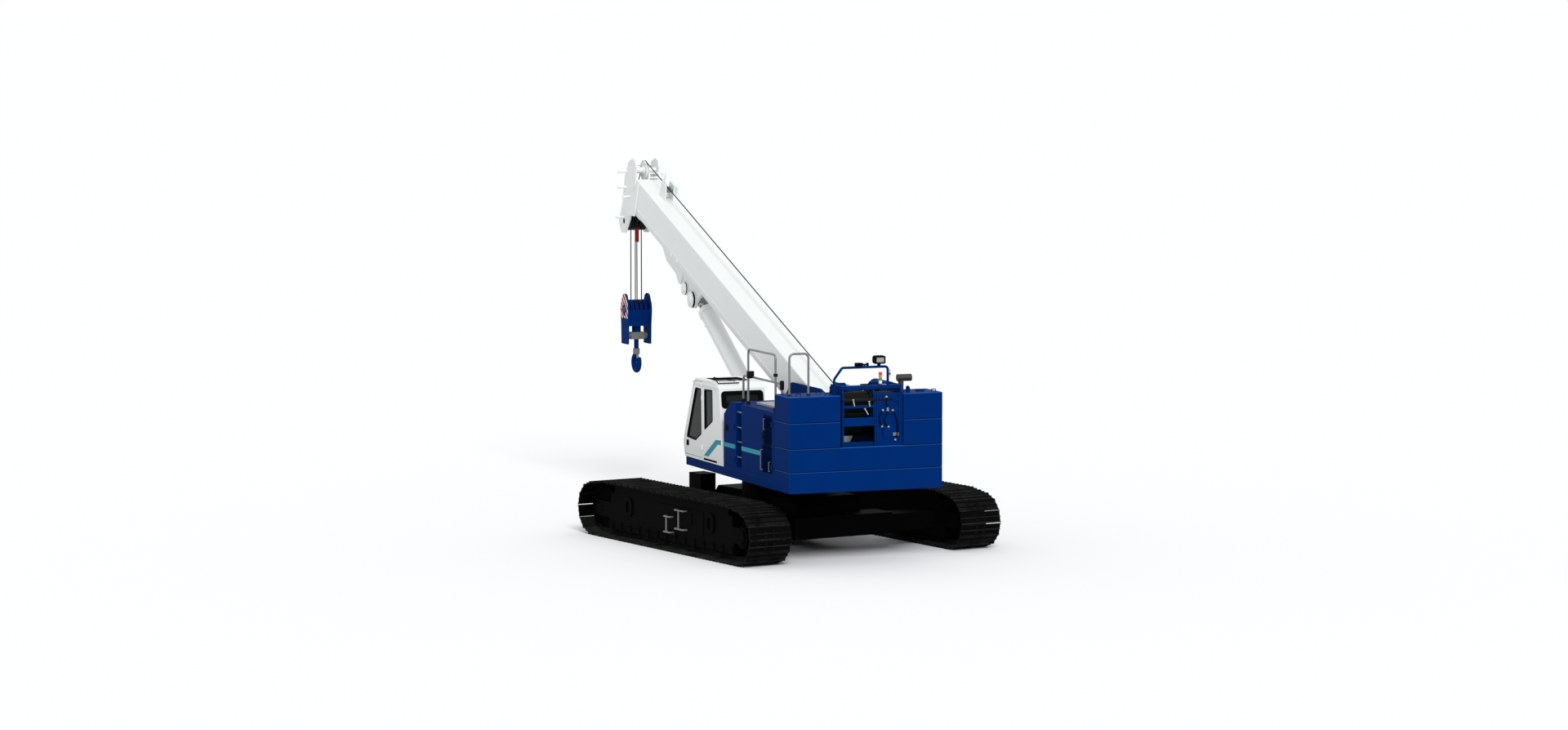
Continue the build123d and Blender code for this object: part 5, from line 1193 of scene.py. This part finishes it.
# %% [markdown]
# ## Camera, floor and light
# The camera is the one that the photograph was matched with: about 90 m away, with
# a long lens. Light comes from an even white sky and a broad sun behind the
# machine, so that tops and rear are bright and the sides half a stop darker, and
# white paint stays just under clipping. What the camera, gloss and glass see of the
# world is plain white; the sky that lights the machine is dimmer.

# %% Camera, floor and light
camera = add(bpy.ops.object.camera_add, location=(-78.9706, 31.2565, 10.8818),
             rotation=(pi / 2 - 0.0875, 0, -0.3764 - pi / 2))
camera.data.sensor_width, camera.data.lens = 36.0, 100.85
camera.data.clip_start, camera.data.clip_end = 1.0, 3000.0
scene.camera = camera

floor = add(bpy.ops.mesh.primitive_plane_add, size=2600, location=(0, 0, -0.002))
floor.name = "floor"
floor.data.materials.append(bpy.data.materials.new("pale_floor"))
floor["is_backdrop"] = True
scene.world = bpy.data.worlds.new("studio")
for owner in (floor.data.materials[0], scene.world):
    owner.use_nodes = True
    owner.node_tree.nodes.clear()
grow(floor.data.materials[0].node_tree, {},
     "lit BsdfDiffuse Color=0.8,0.8,0.8; seen BsdfDiffuse Color=0.98,0.98,0.98; path LightPath; mix MixShader;"
     "out OutputMaterial",
     "path.Is_Camera_Ray > mix.0; lit.0 > mix.1; seen.0 > mix.2; mix.0 > out.Surface")
grow(scene.world.node_tree, {},
     "sky Background Color=0.975,0.99,1 Strength=0.66; white Background Color=1,1,1 Strength=1; path LightPath;"
     "first MAXIMUM; clear MAXIMUM; mix MixShader; out OutputWorld",
     "path.Is_Camera_Ray > first.0; path.Is_Glossy_Ray > first.1; first.0 > clear.0;"
     "path.Is_Transmission_Ray > clear.1; clear.0 > mix.0; sky.0 > mix.1; white.0 > mix.2; mix.0 > out.Surface")

sun = add(bpy.ops.object.light_add, type="SUN", location=(-20, -4, 30))
sun.name = "broad_sun"
sun.data.energy, sun.data.angle = 1.88, radians(22)
sun.rotation_euler = Vector((0.78, -0.14, -0.61)).to_track_quat("-Z", "Y").to_euler()
scene.view_settings.view_transform = "Standard"
print("camera, floor and light are set")

# %% [markdown]
# ## Finish
# The box of the finished model is found.

# %% Finish
low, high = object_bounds()
